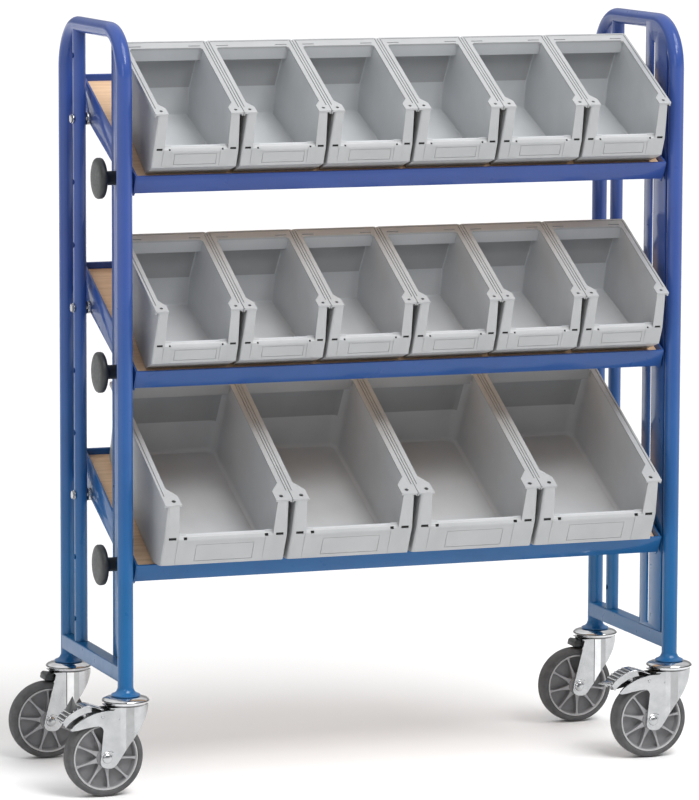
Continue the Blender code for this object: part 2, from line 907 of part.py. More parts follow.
# Casters
def make_wheel_mesh():
    half = wheel_width / 2
    core_radius = wheel_radius - tyre_depth
    web = web_thickness / 2
    rim_radius = core_radius - web_rim_depth
    bore = axle_diameter / 2 + axle_clearance
    side = [
        (wheel_radius, half - tyre_crown),
        (wheel_radius - tyre_crown, half),
        (rim_radius, half),
        (rim_radius, web),
        (hub_diameter / 2, web),
        (hub_diameter / 2, hub_width / 2),
        (bore, hub_width / 2),
    ]
    profile = list(reversed(side)) + [(radius, -height) for radius, height in side]
    wheel = turned("wheel", profile + [profile[0]], wheel_steps, along_y)
    spoke_outer = rim_radius + weld_overlap
    spoke_inner = hub_diameter / 2 - weld_overlap
    for index in range(spoke_count):
        spoke = block(
            "spoke_%d" % index,
            (spoke_inner, -spoke_depth, -spoke_thickness / 2),
            (spoke_outer, spoke_depth, spoke_thickness / 2),
        )
        turn = Matrix.Rotation(2 * math.pi * (index + 1 / 2) / spoke_count, 4, "Y")
        spoke.data.transform(turn)
        join(wheel, spoke)
    smooth(wheel.data)
    return finished_mesh(wheel)


def make_head_mesh():
    top = foot_height - seat_gap
    waist_height = top - head_thickness / 2
    plate_bottom = fork_top - fork_sheet
    stem = stem_diameter / 2
    pin = kingpin_diameter / 2
    profile = [
        (0, foot_height + stem_bore_depth - seat_gap),
        (stem, foot_height + stem_bore_depth - seat_gap),
        (stem, top),
        (head_waist_diameter / 2, top),
        (head_diameter / 2, waist_height + fork_sheet),
        (head_diameter / 2, waist_height),
        (head_waist_diameter / 2, head_bottom),
        (pin, head_bottom),
        (pin, plate_bottom - seat_gap),
        (kingpin_head_diameter / 2, plate_bottom - seat_gap),
        (kingpin_head_diameter / 2, plate_bottom - seat_gap - kingpin_head_height),
        (0, plate_bottom - seat_gap - kingpin_head_height),
    ]
    head = turned("caster_head", profile, turned_steps, upright)
    smooth(head.data)
    return finished_mesh(head)


def cheek_points(shares):
    return [(x * wheel_radius - caster_trail, z * wheel_radius + wheel_radius) for x, z in shares]


def make_fork_mesh(braked):
    half = fork_outer_width / 2
    crown = [(fork_crown_front, fork_top), (-fork_crown_rear, fork_top)]
    tail = wing_shares if braked else cheek_rear_shares
    points = cheek_points(cheek_lower_shares) + crown + cheek_points(tail)
    fork = outline("fork_%s" % braked, points, -half, half, front_plane)
    hub = (-caster_trail, wheel_radius)
    inner = fork_inner_width / 2
    far = wheel_diameter
    throat_x = max(x for x, z in cheek_points(cheek_lower_shares)) - fork_sheet
    hollow_points = [
        (-far - caster_trail, -far),
        (throat_x - wheel_radius * fork_throat_low_share, -far),
        (throat_x - wheel_radius * fork_throat_mid_share, wheel_radius),
        (throat_x, wheel_diameter),
        (throat_x, fork_top - fork_sheet),
        (-far - caster_trail, fork_top - fork_sheet),
    ]
    hollow = outline("fork_hollow_%s" % braked, hollow_points, -inner, inner, front_plane)
    clearance = rod(
        "wheel_clearance_%s" % braked,
        (hub[0], -inner, hub[1]),
        (hub[0], inner, hub[1]),
        wheel_radius + fork_wheel_clearance,
        wheel_steps,
    )
    kingpin_hole = rod(
        "kingpin_hole_%s" % braked,
        (0, 0, fork_top - fork_sheet - cut_overrun),
        (0, 0, fork_top + cut_overrun),
        kingpin_diameter / 2 + seat_gap,
        turned_steps,
    )
    cut(fork, hollow, clearance, kingpin_hole)
    axle_ends = (hub[0], -half, hub[1]), (hub[0], half, hub[1])
    axle = rod("axle_%s" % braked, *axle_ends, axle_diameter / 2, bolt_steps)
    join(fork, axle)
    for side in (-1, 1):
        head = rod(
            "axle_head_%s_%d" % (braked, side),
            (hub[0], side * (half - weld_overlap), hub[1]),
            (hub[0], side * (half + axle_head_height), hub[1]),
            axle_head_diameter / 2,
            bolt_steps,
        )
        join(fork, head)
    if braked:
        pin_x, pin_z = cheek_points([pedal_pin_share])[0]
        pin = rod(
            "pedal_pin", (pin_x, -half, pin_z), (pin_x, half, pin_z), pedal_pin_diameter / 2, bolt_steps
        )
        join(fork, pin)
    return finished_mesh(fork)


def make_pedal_mesh():
    half = fork_inner_width / 2 - pedal_side_gap
    pin_x, pin_z = cheek_points([pedal_pin_share])[0]
    top = cheek_points(pedal_top_shares)
    under = [(x + pedal_thickness / 2, z - pedal_thickness) for x, z in reversed(top)]
    pedal = outline("pedal", top + under, -half, half, front_plane)
    eye_radius = pedal_pin_diameter / 2 + pedal_thickness
    eye_half = half - pedal_thickness
    neck_half = eye_half - weld_overlap
    eye = rod("pedal_eye", (pin_x, -eye_half, pin_z), (pin_x, eye_half, pin_z), eye_radius, bolt_steps)
    neck_top = (top[0][0] + top[1][0]) / 2, (top[0][1] + top[1][1]) / 2
    neck = outline(
        "pedal_neck",
        [
            (pin_x - pedal_thickness, pin_z),
            (pin_x + pedal_thickness, pin_z),
            (neck_top[0] + pedal_thickness, neck_top[1] - pedal_thickness / 2),
            (neck_top[0] - pedal_thickness, neck_top[1] - pedal_thickness / 2),
        ],
        -neck_half,
        neck_half,
        front_plane,
    )
    bore = rod(
        "pedal_bore",
        (pin_x, -half - cut_overrun, pin_z),
        (pin_x, half + cut_overrun, pin_z),
        pedal_pin_diameter / 2 + seat_gap,
        bolt_steps,
    )
    tab_half = eye_half * pedal_tab_width_share
    tab = outline("pedal_tab", cheek_points(pedal_tab_shares), -tab_half, tab_half, front_plane)
    join(pedal, eye, neck, tab)
    cut(pedal, bore)
    for index in range(pedal_rib_count):
        share = (index + 1) / (pedal_rib_count + 1)
        x = top[1][0] + (top[2][0] - top[1][0]) * share
        z = top[1][1] + (top[2][1] - top[1][1]) * share
        rib = rod(
            "pedal_rib_%d" % index, (x, -eye_half, z), (x, eye_half, z), pedal_rib_height, rib_steps
        )
        join(pedal, rib)
    return finished_mesh(pedal)


def make_casters():
    wheel = make_wheel_mesh()
    head = make_head_mesh()
    forks = {True: make_fork_mesh(True), False: make_fork_mesh(False)}
    pedal = make_pedal_mesh()
    for end_name, y, braked in (("front", 0, True), ("rear", post_spacing, False)):
        for side_name, side in (("left", -1), ("right", 1)):
            corner = "%s_%s" % (end_name, side_name)
            swivel = empty("swivel_axis_" + corner, cart, (side * frame_half, y, 0))
            place_mesh("caster_head_" + corner, head, zinc, cart, (side * frame_half, y, 0))
            place_mesh("caster_fork_" + corner, forks[braked], zinc, swivel)
            hub = empty("wheel_axis_" + corner, swivel, (-caster_trail, 0, wheel_radius))
            place_mesh("wheel_" + corner, wheel, tyre_rubber, hub)
            if braked:
                place_mesh("brake_pedal_" + corner, pedal, zinc, swivel)


# The origin goes to the floor under the middle of the whole cart
def centre_on_floor():
    bpy.context.view_layer.update()
    graph = bpy.context.evaluated_depsgraph_get()
    corners = []
    for item in cart_parts.objects:
        if item.type == "MESH":
            solid = item.evaluated_get(graph)
            corners += [item.matrix_world @ vertex.co for vertex in solid.data.vertices]
    middle_x = (min(c.x for c in corners) + max(c.x for c in corners)) / 2
    middle_y = (min(c.y for c in corners) + max(c.y for c in corners)) / 2
    floor = min(c.z for c in corners)
    cart.location = (-middle_x, -middle_y, -floor)
    bpy.context.view_layer.update()


clear_scene()
cart_parts = new_collection("mobile_bin_cart")
cutters = new_collection("cutters")
blue = new_material("blue_powder_coat", blue_colour_share, 0.35, 0.0)
wood = new_material("wood_board", wood_colour_share, 0.6, 0.0)
bin_plastic = new_material("grey_bin_plastic", bin_colour_share, 0.5, 0.0)
zinc = new_material("bright_zinc", zinc_colour_share, 0.25, 1.0)
black = new_material("black_plastic", black_colour_share, 0.5, 0.0)
tyre_rubber = new_material("grey_tyre", tyre_colour_share, 0.7, 0.0)

cart = new_object("cart_origin", None, cart_parts)
for frame_side_name, frame_side in (("left", -1), ("right", 1)):
    make_side_frame(frame_side_name, frame_side)
    make_guide_tube(frame_side_name, frame_side)
    make_slot_plate(frame_side_name, frame_side)
shelf_axes = {name: make_shelf(name) for name in shelf_names}
make_fasteners()
make_bins(shelf_axes)
make_casters()
centre_on_floor()
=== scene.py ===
import json
import math

import bpy
from mathutils import Matrix, Vector


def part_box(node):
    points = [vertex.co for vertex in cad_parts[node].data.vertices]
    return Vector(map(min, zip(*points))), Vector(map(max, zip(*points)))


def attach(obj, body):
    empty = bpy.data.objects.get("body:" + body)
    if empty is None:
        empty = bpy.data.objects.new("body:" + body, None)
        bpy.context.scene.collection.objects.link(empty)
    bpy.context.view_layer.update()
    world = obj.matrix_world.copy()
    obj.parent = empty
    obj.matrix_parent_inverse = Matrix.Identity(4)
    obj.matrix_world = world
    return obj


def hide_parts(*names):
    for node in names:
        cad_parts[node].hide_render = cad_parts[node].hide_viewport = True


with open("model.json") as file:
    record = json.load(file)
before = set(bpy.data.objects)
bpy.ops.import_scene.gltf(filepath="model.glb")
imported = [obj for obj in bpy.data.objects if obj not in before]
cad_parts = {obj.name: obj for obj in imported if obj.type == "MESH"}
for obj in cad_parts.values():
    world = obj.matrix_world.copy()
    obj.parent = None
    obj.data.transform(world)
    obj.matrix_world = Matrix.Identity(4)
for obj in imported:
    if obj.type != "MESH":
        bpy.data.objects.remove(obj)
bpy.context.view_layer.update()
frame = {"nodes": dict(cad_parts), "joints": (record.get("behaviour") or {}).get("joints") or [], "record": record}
print("frame loaded")

# where things are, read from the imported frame
jointOf = {joint["name"]: joint for joint in frame["joints"]}
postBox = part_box("side_frame_right")
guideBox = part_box("guide_tube_right")
frameHalf, guideSetback = 0.4765, 0.245
frameX = (postBox[0].x + postBox[1].x) / 2 - frameHalf  # middle between the side frames
frontY = (guideBox[0].y + guideBox[1].y) / 2 - guideSetback  # front post axis
sides = (("left", -1), ("right", 1))
shelfNames = ("top", "middle", "bottom")
mm = 0.001
hair = 0.00001  # points closer than this become one


def toFloor(x, y, z):  # a place in millimetres from the front post line
    return Vector((frameX + x * mm, frontY + y * mm, z * mm))


def shelfPlace(name):  # the tilted place of a shelf, at its pivot
    joint = jointOf["tilt_" + name]
    turn = Matrix.Rotation(math.radians(joint["range_deg"][1]), 4, "X")
    return Matrix.Translation(Vector(joint["pos_m"])) @ turn


# small hand tools
def onlyPick(*pieces):
    if bpy.context.mode != "OBJECT":
        bpy.ops.object.mode_set(mode="OBJECT")
    bpy.ops.object.select_all(action="DESELECT")
    for piece in pieces:
        piece.select_set(True)
    bpy.context.view_layer.objects.active = pieces[0]


def nameIt(name):
    piece = bpy.context.active_object
    piece.name = name
    piece.data.name = name
    return piece


def bakePlace(piece):
    onlyPick(piece)
    bpy.ops.object.transform_apply(location=True, rotation=True, scale=True)


def startBox(name, low, high):  # millimetres
    size = [(b - a) * mm for a, b in zip(low, high)]
    middle = [(a + b) / 2 * mm for a, b in zip(low, high)]
    bpy.ops.mesh.primitive_cube_add(size=1, location=middle, scale=size)
    piece = nameIt(name)
    bakePlace(piece)
    return piece


def startRod(name, start, end, radius, sides, tip=None):  # millimetres, tip is the radius at the end
    a, b = Vector(start) * mm, Vector(end) * mm
    turn = (b - a).to_track_quat("Z", "Y").to_euler()
    bpy.ops.mesh.primitive_cone_add(
        vertices=sides, radius1=radius * mm, radius2=(radius if tip is None else tip) * mm,
        depth=(b - a).length, location=(a + b) / 2, rotation=turn)
    piece = nameIt(name)
    bakePlace(piece)
    return piece


def pickBy(kind):
    bpy.context.tool_settings.mesh_select_mode = [kind == each for each in ("VERT", "EDGE", "FACE")]


def pickAll():
    bpy.ops.mesh.select_all(action="SELECT")


def pickParts(piece, kind, parts, test):  # picks what passes the test, then opens edit mode
    onlyPick(piece)
    pickBy(kind)
    mesh = piece.data
    for group in (mesh.vertices, mesh.edges, mesh.polygons):
        group.foreach_set("select", [False] * len(group))
    for part in getattr(mesh, parts):
        part.select = bool(test(part))
    bpy.ops.object.mode_set(mode="EDIT")


def pickFaces(piece, test):  # test gets a face's middle in millimetres and its normal
    pickParts(piece, "FACE", "polygons", lambda face: test(face.center / mm, face.normal))


def pickEdges(piece, test):  # test gets the edge's two ends in millimetres
    points = piece.data.vertices
    pickParts(piece, "EDGE", "edges", lambda edge: test(*(points[i].co / mm for i in edge.vertices)))


def pickPoints(piece, test):  # test gets a vertex in millimetres
    pickParts(piece, "VERT", "vertices", lambda point: test(point.co / mm))


def doneEditing():
    bpy.ops.object.mode_set(mode="OBJECT")


def nudge(piece, test, move):
    pickPoints(piece, test)
    bpy.ops.transform.translate(value=[v * mm for v in move])
    doneEditing()


def softenEdges(piece, test, width, steps):
    pickEdges(piece, test)
    bpy.ops.mesh.bevel(offset=width * mm, segments=steps, affect="EDGES", profile=0.5)
    doneEditing()


def dropFaces(piece, test):
    pickFaces(piece, test)
    bpy.ops.mesh.delete(type="FACE")
    doneEditing()


def drawChain(name, spots):  # a line through the spots, left picked in edit mode
    bpy.ops.mesh.primitive_plane_add(size=0.01, location=(0, 0, 0))
    pickBy("VERT")
    piece = nameIt(name)
    bpy.ops.object.mode_set(mode="EDIT")
    pickAll()
    bpy.ops.mesh.merge(type="CENTER")
    bpy.ops.transform.translate(value=spots[0])
    for here, there in zip(spots, spots[1:]):
        bpy.ops.mesh.extrude_vertices_move(TRANSFORM_OT_translate={"value": there - here})
    pickAll()
    return piece


def drawOutline(name, points, low, high, plane):  # points in millimetres, extruded from low to high
    piece = drawChain(name, [plane @ Vector((x, y, low)) * mm for x, y in points])
    bpy.ops.mesh.edge_face_add()
    pickAll()
    depth = plane @ Vector((0, 0, high)) - plane @ Vector((0, 0, low))
    bpy.ops.mesh.extrude_region_move(TRANSFORM_OT_translate={"value": depth * mm})
    pickAll()
    bpy.ops.mesh.normals_make_consistent(inside=False)
    doneEditing()
    return piece


def drawBeside(name, points, face, near, far, plane):  # between two distances on one side of the middle
    low, high = sorted((face * near, face * far))
    return drawOutline(name, points, low, high, plane)


# points are radius and height in millimetres, the last one meets the first where the profile is closed
def turnProfile(name, points, steps, place):
    piece = drawChain(name, [Vector((radius, 0, height)) * mm for radius, height in points])
    bpy.ops.mesh.spin(steps=steps, angle=math.tau, center=(0, 0, 0), axis=(0, 0, 1))
    pickAll()
    bpy.ops.mesh.remove_doubles(threshold=hair)
    bpy.ops.mesh.normals_make_consistent(inside=False)
    doneEditing()
    return settle(piece, place)


def finishWith(piece, kind, **values):  # a modifier with these values, applied at once
    onlyPick(piece)
    bpy.ops.object.modifier_add(type=kind)
    change = piece.modifiers[-1]
    for key, value in values.items():
        setattr(change, key, value)
    bpy.ops.object.modifier_apply(modifier=change.name)
    return piece


def clearAway(*pieces):
    for piece in pieces:
        bpy.data.objects.remove(piece, do_unlink=True)


def carve(piece, *tools, how="DIFFERENCE"):
    for tool in tools:
        finishWith(piece, "BOOLEAN", operation=how, solver="EXACT", object=tool)
        clearAway(tool)
    return piece


def weldOn(piece, *others):
    return carve(piece, *others, how="UNION")


def gather(piece, *others):  # several shells in one piece
    onlyPick(piece, *others)
    bpy.ops.object.join()
    return piece


def roundOff(piece, width, steps=2, angle=35):  # eases the edges sharper than this angle
    return finishWith(piece, "BEVEL", width=width * mm, segments=steps, limit_method="ANGLE",
                      angle_limit=math.radians(angle), use_clamp_overlap=True)


def smoothOff(piece, angle):
    onlyPick(piece)
    bpy.ops.object.shade_smooth_by_angle(angle=math.radians(angle))


def levelShading(piece):  # large faces stay evenly shaded
    finishWith(piece, "WEIGHTED_NORMAL", keep_sharp=True, weight=60)


def tidyPlanes(piece):  # merges the loose triangles of a copied node into flat faces
    onlyPick(piece)
    bpy.ops.object.mode_set(mode="EDIT")
    pickAll()
    bpy.ops.mesh.remove_doubles(threshold=hair / 2)
    bpy.ops.mesh.dissolve_limited(angle_limit=math.radians(1))
    doneEditing()


def copyOf(piece, name):
    onlyPick(piece)
    bpy.ops.object.duplicate(linked=False)
    return nameIt(name)


def copyNode(node, name):
    source = frame["nodes"][node]
    piece = source.copy()
    piece.data = source.data.copy()
    piece.name = name
    bpy.context.scene.collection.objects.link(piece)
    piece.parent = None
    for key in list(piece.keys()):
        del piece[key]
    return piece


def settle(piece, place):
    piece.matrix_world = place
    bakePlace(piece)
    return piece


def dressed(piece, *looks):
    piece.data.materials.clear()
    for look in looks:
        piece.data.materials.append(look)
    return piece


def finishPiece(piece, body, look, slotName, *nodes):
    if look:
        dressed(piece, look)
    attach(piece, body)
    if nodes:
        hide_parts(*nodes)


sidePlane = Matrix(((0, 0, 1), (1, 0, 0), (0, 1, 0)))  # outline in Y and Z, thickness along X
frontPlane = Matrix(((1, 0, 0), (0, 0, 1), (0, 1, 0)))  # outline in X and Z, thickness along Y
flatPlane = Matrix.Identity(3)


# looks
def shaderOf(look):
    return look.node_tree.nodes["Principled BSDF"]


def newLook(name, colour, roughness, metallic=0.0):
    look = bpy.data.materials.new(name)
    look.use_nodes = True
    sockets = shaderOf(look).inputs
    sockets["Base Color"].default_value = (*colour, 1)
    sockets["Roughness"].default_value = roughness
    sockets["Metallic"].default_value = metallic
    return look


def addNode(owner, kind, **values):
    node = owner.node_tree.nodes.new(kind)
    for key, value in values.items():
        node.inputs[key].default_value = value
    return node


def join(owner, source, target):
    owner.node_tree.links.new(source, target)


def place3d(look, stretch=(1, 1, 1)):
    spot = addNode(look, "ShaderNodeTexCoord")
    mapping = addNode(look, "ShaderNodeMapping", Scale=stretch)
    join(look, spot.outputs["Object"], mapping.inputs["Vector"])
    return mapping.outputs["Vector"]


def heightOf(look):
    split = addNode(look, "ShaderNodeSeparateXYZ")
    join(look, place3d(look), split.inputs["Vector"])
    return split.outputs["Z"]


def blotches(look, size, detail=4.0, stretch=(1, 1, 1)):  # size in millimetres
    noise = addNode(look, "ShaderNodeTexNoise", Scale=1000.0 / size, Detail=detail, Roughness=0.55)
    join(look, place3d(look, stretch), noise.inputs["Vector"])
    return noise.outputs["Fac"]


def driftColour(look, factor, colours, spread=(0.35, 0.65)):
    ramp = addNode(look, "ShaderNodeValToRGB")
    for band, place, colour in zip(ramp.color_ramp.elements, spread, colours):
        band.position = place
        band.color = (*colour, 1)
    join(look, factor, ramp.inputs["Fac"])
    return ramp.outputs["Color"]


def bandRamp(owner, factor, stops, tint=(1, 1, 1)):  # stops are places and shades, the two ends first
    ramp = addNode(owner, "ShaderNodeValToRGB")
    join(owner, factor, ramp.inputs["Fac"])
    bands = ramp.color_ramp.elements
    for index, (place, shade) in enumerate(stops):
        band = bands[index] if index < 2 else bands.new(place)
        band.position = place
        band.color = (*(shade * part for part in tint), 1)
    return ramp.outputs["Color"]


def multiplied(owner, one, other):
    mix = addNode(owner, "ShaderNodeMix")
    mix.data_type = "RGBA"
    mix.blend_type = "MULTIPLY"
    mix.inputs["Factor"].default_value = 1.0
    join(owner, one, mix.inputs[6])
    join(owner, other, mix.inputs[7])
    return mix.outputs[2]


def clouded(look, colour, factor, depth):  # the colour, a little deeper in soft patches
    return multiplied(look, colour, driftColour(look, factor, ((depth, depth, depth), (1.0, 1.0, 1.0))))


def useColour(look, colour):
    join(look, colour, shaderOf(look).inputs["Base Color"])


def spanned(owner, factor, **ends):  # brings one span of values onto another
    span = addNode(owner, "ShaderNodeMapRange", **ends)
    join(owner, factor, span.inputs["Value"])
    return span.outputs["Result"]


def driftRoughness(look, factor, low, high):
    rough = spanned(look, factor, **{"From Min": 0.3, "From Max": 0.7, "To Min": low, "To Max": high})
    join(look, rough, shaderOf(look).inputs["Roughness"])


def addGrain(look, factor, strength, depth):  # depth in millimetres
    bump = addNode(look, "ShaderNodeBump", Strength=strength, Distance=depth * mm)
    join(look, factor, bump.inputs["Height"])
    join(look, bump.outputs["Normal"], shaderOf(look).inputs["Normal"])


# painted light: the frame's hue shifts with height, teal low down and violet blue up high, for how the light falls
# on the tubes
powderCoat = {"high": (0.036, 0.078, 0.290), "low": (0.014, 0.112, 0.285), "change": (0.30, 0.85),
              "patch": 90, "gloss": (25, 0.27, 0.36), "peel": (1.6, 2.0)}


def makePowderCoat():
    look = newLook("bluePowderCoat", powderCoat["high"], 0.3)
    sockets = shaderOf(look).inputs
    sockets["Coat Weight"].default_value = 0.5
    sockets["Coat Roughness"].default_value = 0.1
    sockets["Specular IOR Level"].default_value = 0.12
    # painted light: the colour follows the height
    tint = driftColour(look, heightOf(look), (powderCoat["low"], powderCoat["high"]), powderCoat["change"])
    useColour(look, clouded(look, tint, blotches(look, powderCoat["patch"]), 0.90))
    size, smooth, rough = powderCoat["gloss"]
    driftRoughness(look, blotches(look, size), smooth, rough)
    addGrain(look, blotches(look, *powderCoat["peel"]), 0.12, 0.05)
    return look


def cool(shade):  # a grey with the blue cast of bare metal
    return (shade, shade * 1.01, shade * 1.02)


binSurface = (60, 0.42, 0.0, (0.9, 3.0, 0.18, 0.04), (8, 0.38, 0.48))
rolled = (14.0, 1.0, 0.10, 0.06)  # the long soft waves of sheet metal
# each look: dark shade, light shade, patch size, roughness, metal,
# grain as size, detail, strength and depth, and for some the gloss as patch size, smooth and rough
plainLooks = {
    "greyBinPlastic": ((0.395, 0.404, 0.411), (0.425, 0.434, 0.441), *binSurface),
    # painted light: a paler copy of the bin grey for the inner faces
    "paleBinPlastic": ((0.500, 0.515, 0.530), (0.530, 0.545, 0.560), *binSurface),
    # painted shade: a darker copy of the bin grey for a band of the rear wall
    "shadedBinPlastic": ((0.325, 0.334, 0.342), (0.350, 0.359, 0.367), *binSurface),
    # painted shade: near black for the floors of the bins' small recesses
    "deepRecess": ((0.007, 0.007, 0.0075), (0.012, 0.012, 0.0125), 3, 0.9, 0.0, (0.8, 4.0, 0.2, 0.03)),
    "brightZinc": ((0.46, 0.47, 0.48), (0.56, 0.568, 0.576), 26, 0.3, 1.0, rolled, (18, 0.20, 0.27)),
    # painted light and shade: a pale and a darker copy of the zinc for the fork cheeks' facets, and a near black
    # zinc for creases and the strips between the pedal ribs
    "paleZincFacet": (cool(0.86 * 0.92), cool(0.86 * 1.04), 16, 0.34, 1.0, rolled, (12, 0.30, 0.38)),
    "dullZincFacet": (cool(0.43 * 0.92), cool(0.43 * 1.04), 16, 0.30, 1.0, rolled, (12, 0.26, 0.34)),
    "shadedZinc": ((0.055, 0.057, 0.06), (0.09, 0.092, 0.096), 9, 0.4, 0.6, (1.5, 3.0, 0.2, 0.04)),
    "blackPlastic": ((0.020, 0.022, 0.023), (0.030, 0.034, 0.035), 12, 0.45, 0.0, (0.8, 3.0, 0.25, 0.05),
                     (5, 0.38, 0.52)),
    "greyTyre": ((0.060, 0.060, 0.062), (0.085, 0.085, 0.087), 15, 0.7, 0.0, (0.7, 3.0, 0.4, 0.06),
                 (6, 0.6, 0.8)),
    "greyWheelCentre": ((0.175, 0.175, 0.182), (0.215, 0.215, 0.222), 20, 0.5, 0.0, (0.9, 3.0, 0.2, 0.04),
                        (6, 0.42, 0.56)),
    # painted highlight: a paler grey for the spokes' outer crests
    "paleSpokeEdge": ((0.28, 0.28, 0.29), (0.33, 0.33, 0.34), 14, 0.45, 0.0, (0.8, 3.0, 0.2, 0.04)),
    "paleTyreRing": ((0.38, 0.38, 0.385), (0.45, 0.45, 0.455), 9, 0.5, 0.0, (0.8, 3.0, 0.2, 0.04))}


def makePlain(name):
    dark, light, patch, roughness, metal, grain, *gloss = plainLooks[name]
    look = newLook(name, light, roughness, metal)
    useColour(look, driftColour(look, blotches(look, patch), (dark, light)))
    for size, smooth, rough in gloss:
        driftRoughness(look, blotches(look, size), smooth, rough)
    size, detail, strength, depth = grain
    addGrain(look, blotches(look, size, detail), strength, depth)
    return look


# painted reflection: the polished race's colour carries dark and light bands, given by height, in place of a
# mirrored room
chromeShade = {"span": (0.1457, 0.1607), "tint": (1, 1.01, 1.03),
               "paintedReflections": ((0.0, 0.12), (1.0, 0.80), (0.20, 0.16), (0.30, 0.75), (0.40, 0.85), (0.50, 0.80),
                           (0.54, 0.10), (0.60, 0.08), (0.64, 0.70), (0.86, 0.62))}


def makeChrome():
    look = newLook("polishedZinc", (0.80, 0.80, 0.81), 0.12, 1.0)
    low, high = chromeShade["span"]
    height = spanned(look, heightOf(look), **{"From Min": low, "From Max": high})
    # painted reflection bands in the colour
    paintedReflections = bandRamp(look, height, chromeShade["paintedReflections"], chromeShade["tint"])
    useColour(look, clouded(look, paintedReflections, blotches(look, 9), 0.85))
    driftRoughness(look, blotches(look, 5), 0.08, 0.17)
    addGrain(look, blotches(look, 2.5, 3.0), 0.05, 0.03)
    return look


boardShade = {"light": (0.80, 0.545, 0.345), "dark": (0.66, 0.43, 0.255), "spread": (0.30, 0.62),
              "fibre": (5.0, 8.0, (0.06, 1.0, 1.0)), "fleck": (1.5, 3.0, (0.25, 1.0, 1.0))}


def makeBoard():
    look = newLook("woodBoard", boardShade["light"], 0.6)
    fibres = blotches(look, *boardShade["fibre"])
    flecks = blotches(look, *boardShade["fleck"])
    shades = (boardShade["dark"], boardShade["light"])
    useColour(look, driftColour(look, fibres, shades, boardShade["spread"]))
    driftRoughness(look, flecks, 0.52, 0.7)
    addGrain(look, flecks, 0.25, 0.08)
    return look


blueLook = makePowderCoat()
chromeLook = makeChrome()
boardLook = makeBoard()
binLook, paintedLitInsideLook, shadedBinLook, recessShadeLook = map(
    makePlain, ("greyBinPlastic", "paleBinPlastic", "shadedBinPlastic", "deepRecess"))
zincLook, paintedLitFacetLook, paintedShadeFacetLook, paintedShadeZincLook = map(
    makePlain, ("brightZinc", "paleZincFacet", "dullZincFacet", "shadedZinc"))
blackLook, tyreLook, centreLook, crestHighlightLook, ringLook = map(
    makePlain, ("blackPlastic", "greyTyre", "greyWheelCentre", "paleSpokeEdge", "paleTyreRing"))
lookOf = {
    "blue_powder_coat": blueLook, "wood_board": boardLook, "grey_bin_plastic": binLook,
    "bright_zinc": zincLook, "black_plastic": blackLook, "grey_tyre": tyreLook,
}
for entry in frame["record"]["subparts"]:
    dressed(frame["nodes"][entry["node"]], lookOf[entry["material_slot"]])
bpy.ops.object.select_all(action="DESELECT")
print("looks ready")


# side frames: one bent tube each, with its strut and foot flares
tube = {"x": 476.5, "depth": 319.0, "radius": 12.8, "bend": 75.0, "top": 1226.2, "foot": 161.5,
        "sides": 40, "bendSteps": 18, "strut": 25.0, "strutLow": 182.5}
# a foot's flare: how far it stands out from the tube's neck, and its height above the foot's underside
footFlare = ((0.0, 14.0), (0.9, 11.0), (2.6, 7.2), (5.6, 4.4), (9.6, 3.0), (10.8, 2.0), (10.8, 0.7), (10.1, 0.0))


def buildBentTube(name):
    radius, bend, top = tube["radius"], tube["bend"], tube["top"]
    straight = top - bend - tube["foot"]
    bpy.ops.mesh.primitive_circle_add(
        vertices=tube["sides"], radius=radius * mm, fill_type="NOTHING", location=(0, 0, tube["foot"] * mm))
    piece = nameIt(name)
    bakePlace(piece)
    pickBy("VERT")
    bpy.ops.object.mode_set(mode="EDIT")
    pickAll()
    push = bpy.ops.mesh.extrude_region_move
    moves = ((0, 0, straight * mm), (0, (tube["depth"] - 2 * bend) * mm, 0))
    for move, middle in zip(moves, (bend, tube["depth"] - bend)):
        push(TRANSFORM_OT_translate={"value": move})
        bpy.ops.mesh.spin(steps=tube["bendSteps"], angle=-math.pi / 2, center=(0, middle * mm, (top - bend) * mm),
                          axis=(-1, 0, 0))
    push(TRANSFORM_OT_translate={"value": (0, 0, -straight * mm)})
    pickAll()
    bpy.ops.mesh.region_to_loop()
    bpy.ops.mesh.edge_face_add()
    pickAll()
    bpy.ops.mesh.remove_doubles(threshold=hair)
    bpy.ops.mesh.normals_make_consistent(inside=False)
    doneEditing()
    return piece


def buildFoot(name, y):
    neck, low, tall = tube["radius"] - 0.2, 160.7, footFlare[0][1]
    profile = [(0, low + tall)] + [(neck + out, low + up) for out, up in footFlare] + [(0, low)]
    return turnProfile(name, profile, 40, Matrix.Translation((0, y * mm, 0)))


def buildSideFrame(sideName, side):
    piece = buildBentTube("sideFrameTube_" + sideName)
    half, low = tube["strut"] / 2, tube["strutLow"]
    strut = startBox("strut", (-half, 3, low), (half, tube["depth"] - 3, low + tube["strut"]))
    softenEdges(strut, lambda a, b: abs(a.x - b.x) < 0.1 and abs(a.z - b.z) < 0.1, 2.2, 3)
    weldOn(piece, strut, buildFoot("footFront", 0), buildFoot("footRear", tube["depth"]))
    smoothOff(piece, 30)
    settle(piece, Matrix.Translation(toFloor(side * tube["x"], 0, 0)))
    finishPiece(piece, "cart_base", blueLook, "blue_powder_coat", "side_frame_" + sideName)


for sideName, side in sides:
    buildSideFrame(sideName, side)
print("side frames bent")


# guide tubes with a row of pierced, slightly crushed holes
guide = {"y": 245.0, "radius": 10.75, "low": 207.8, "first": 245.38, "pitch": 103.34, "count": 10,
         "hole": 4.6, "dent": 13.0, "dentDepth": 1.3}


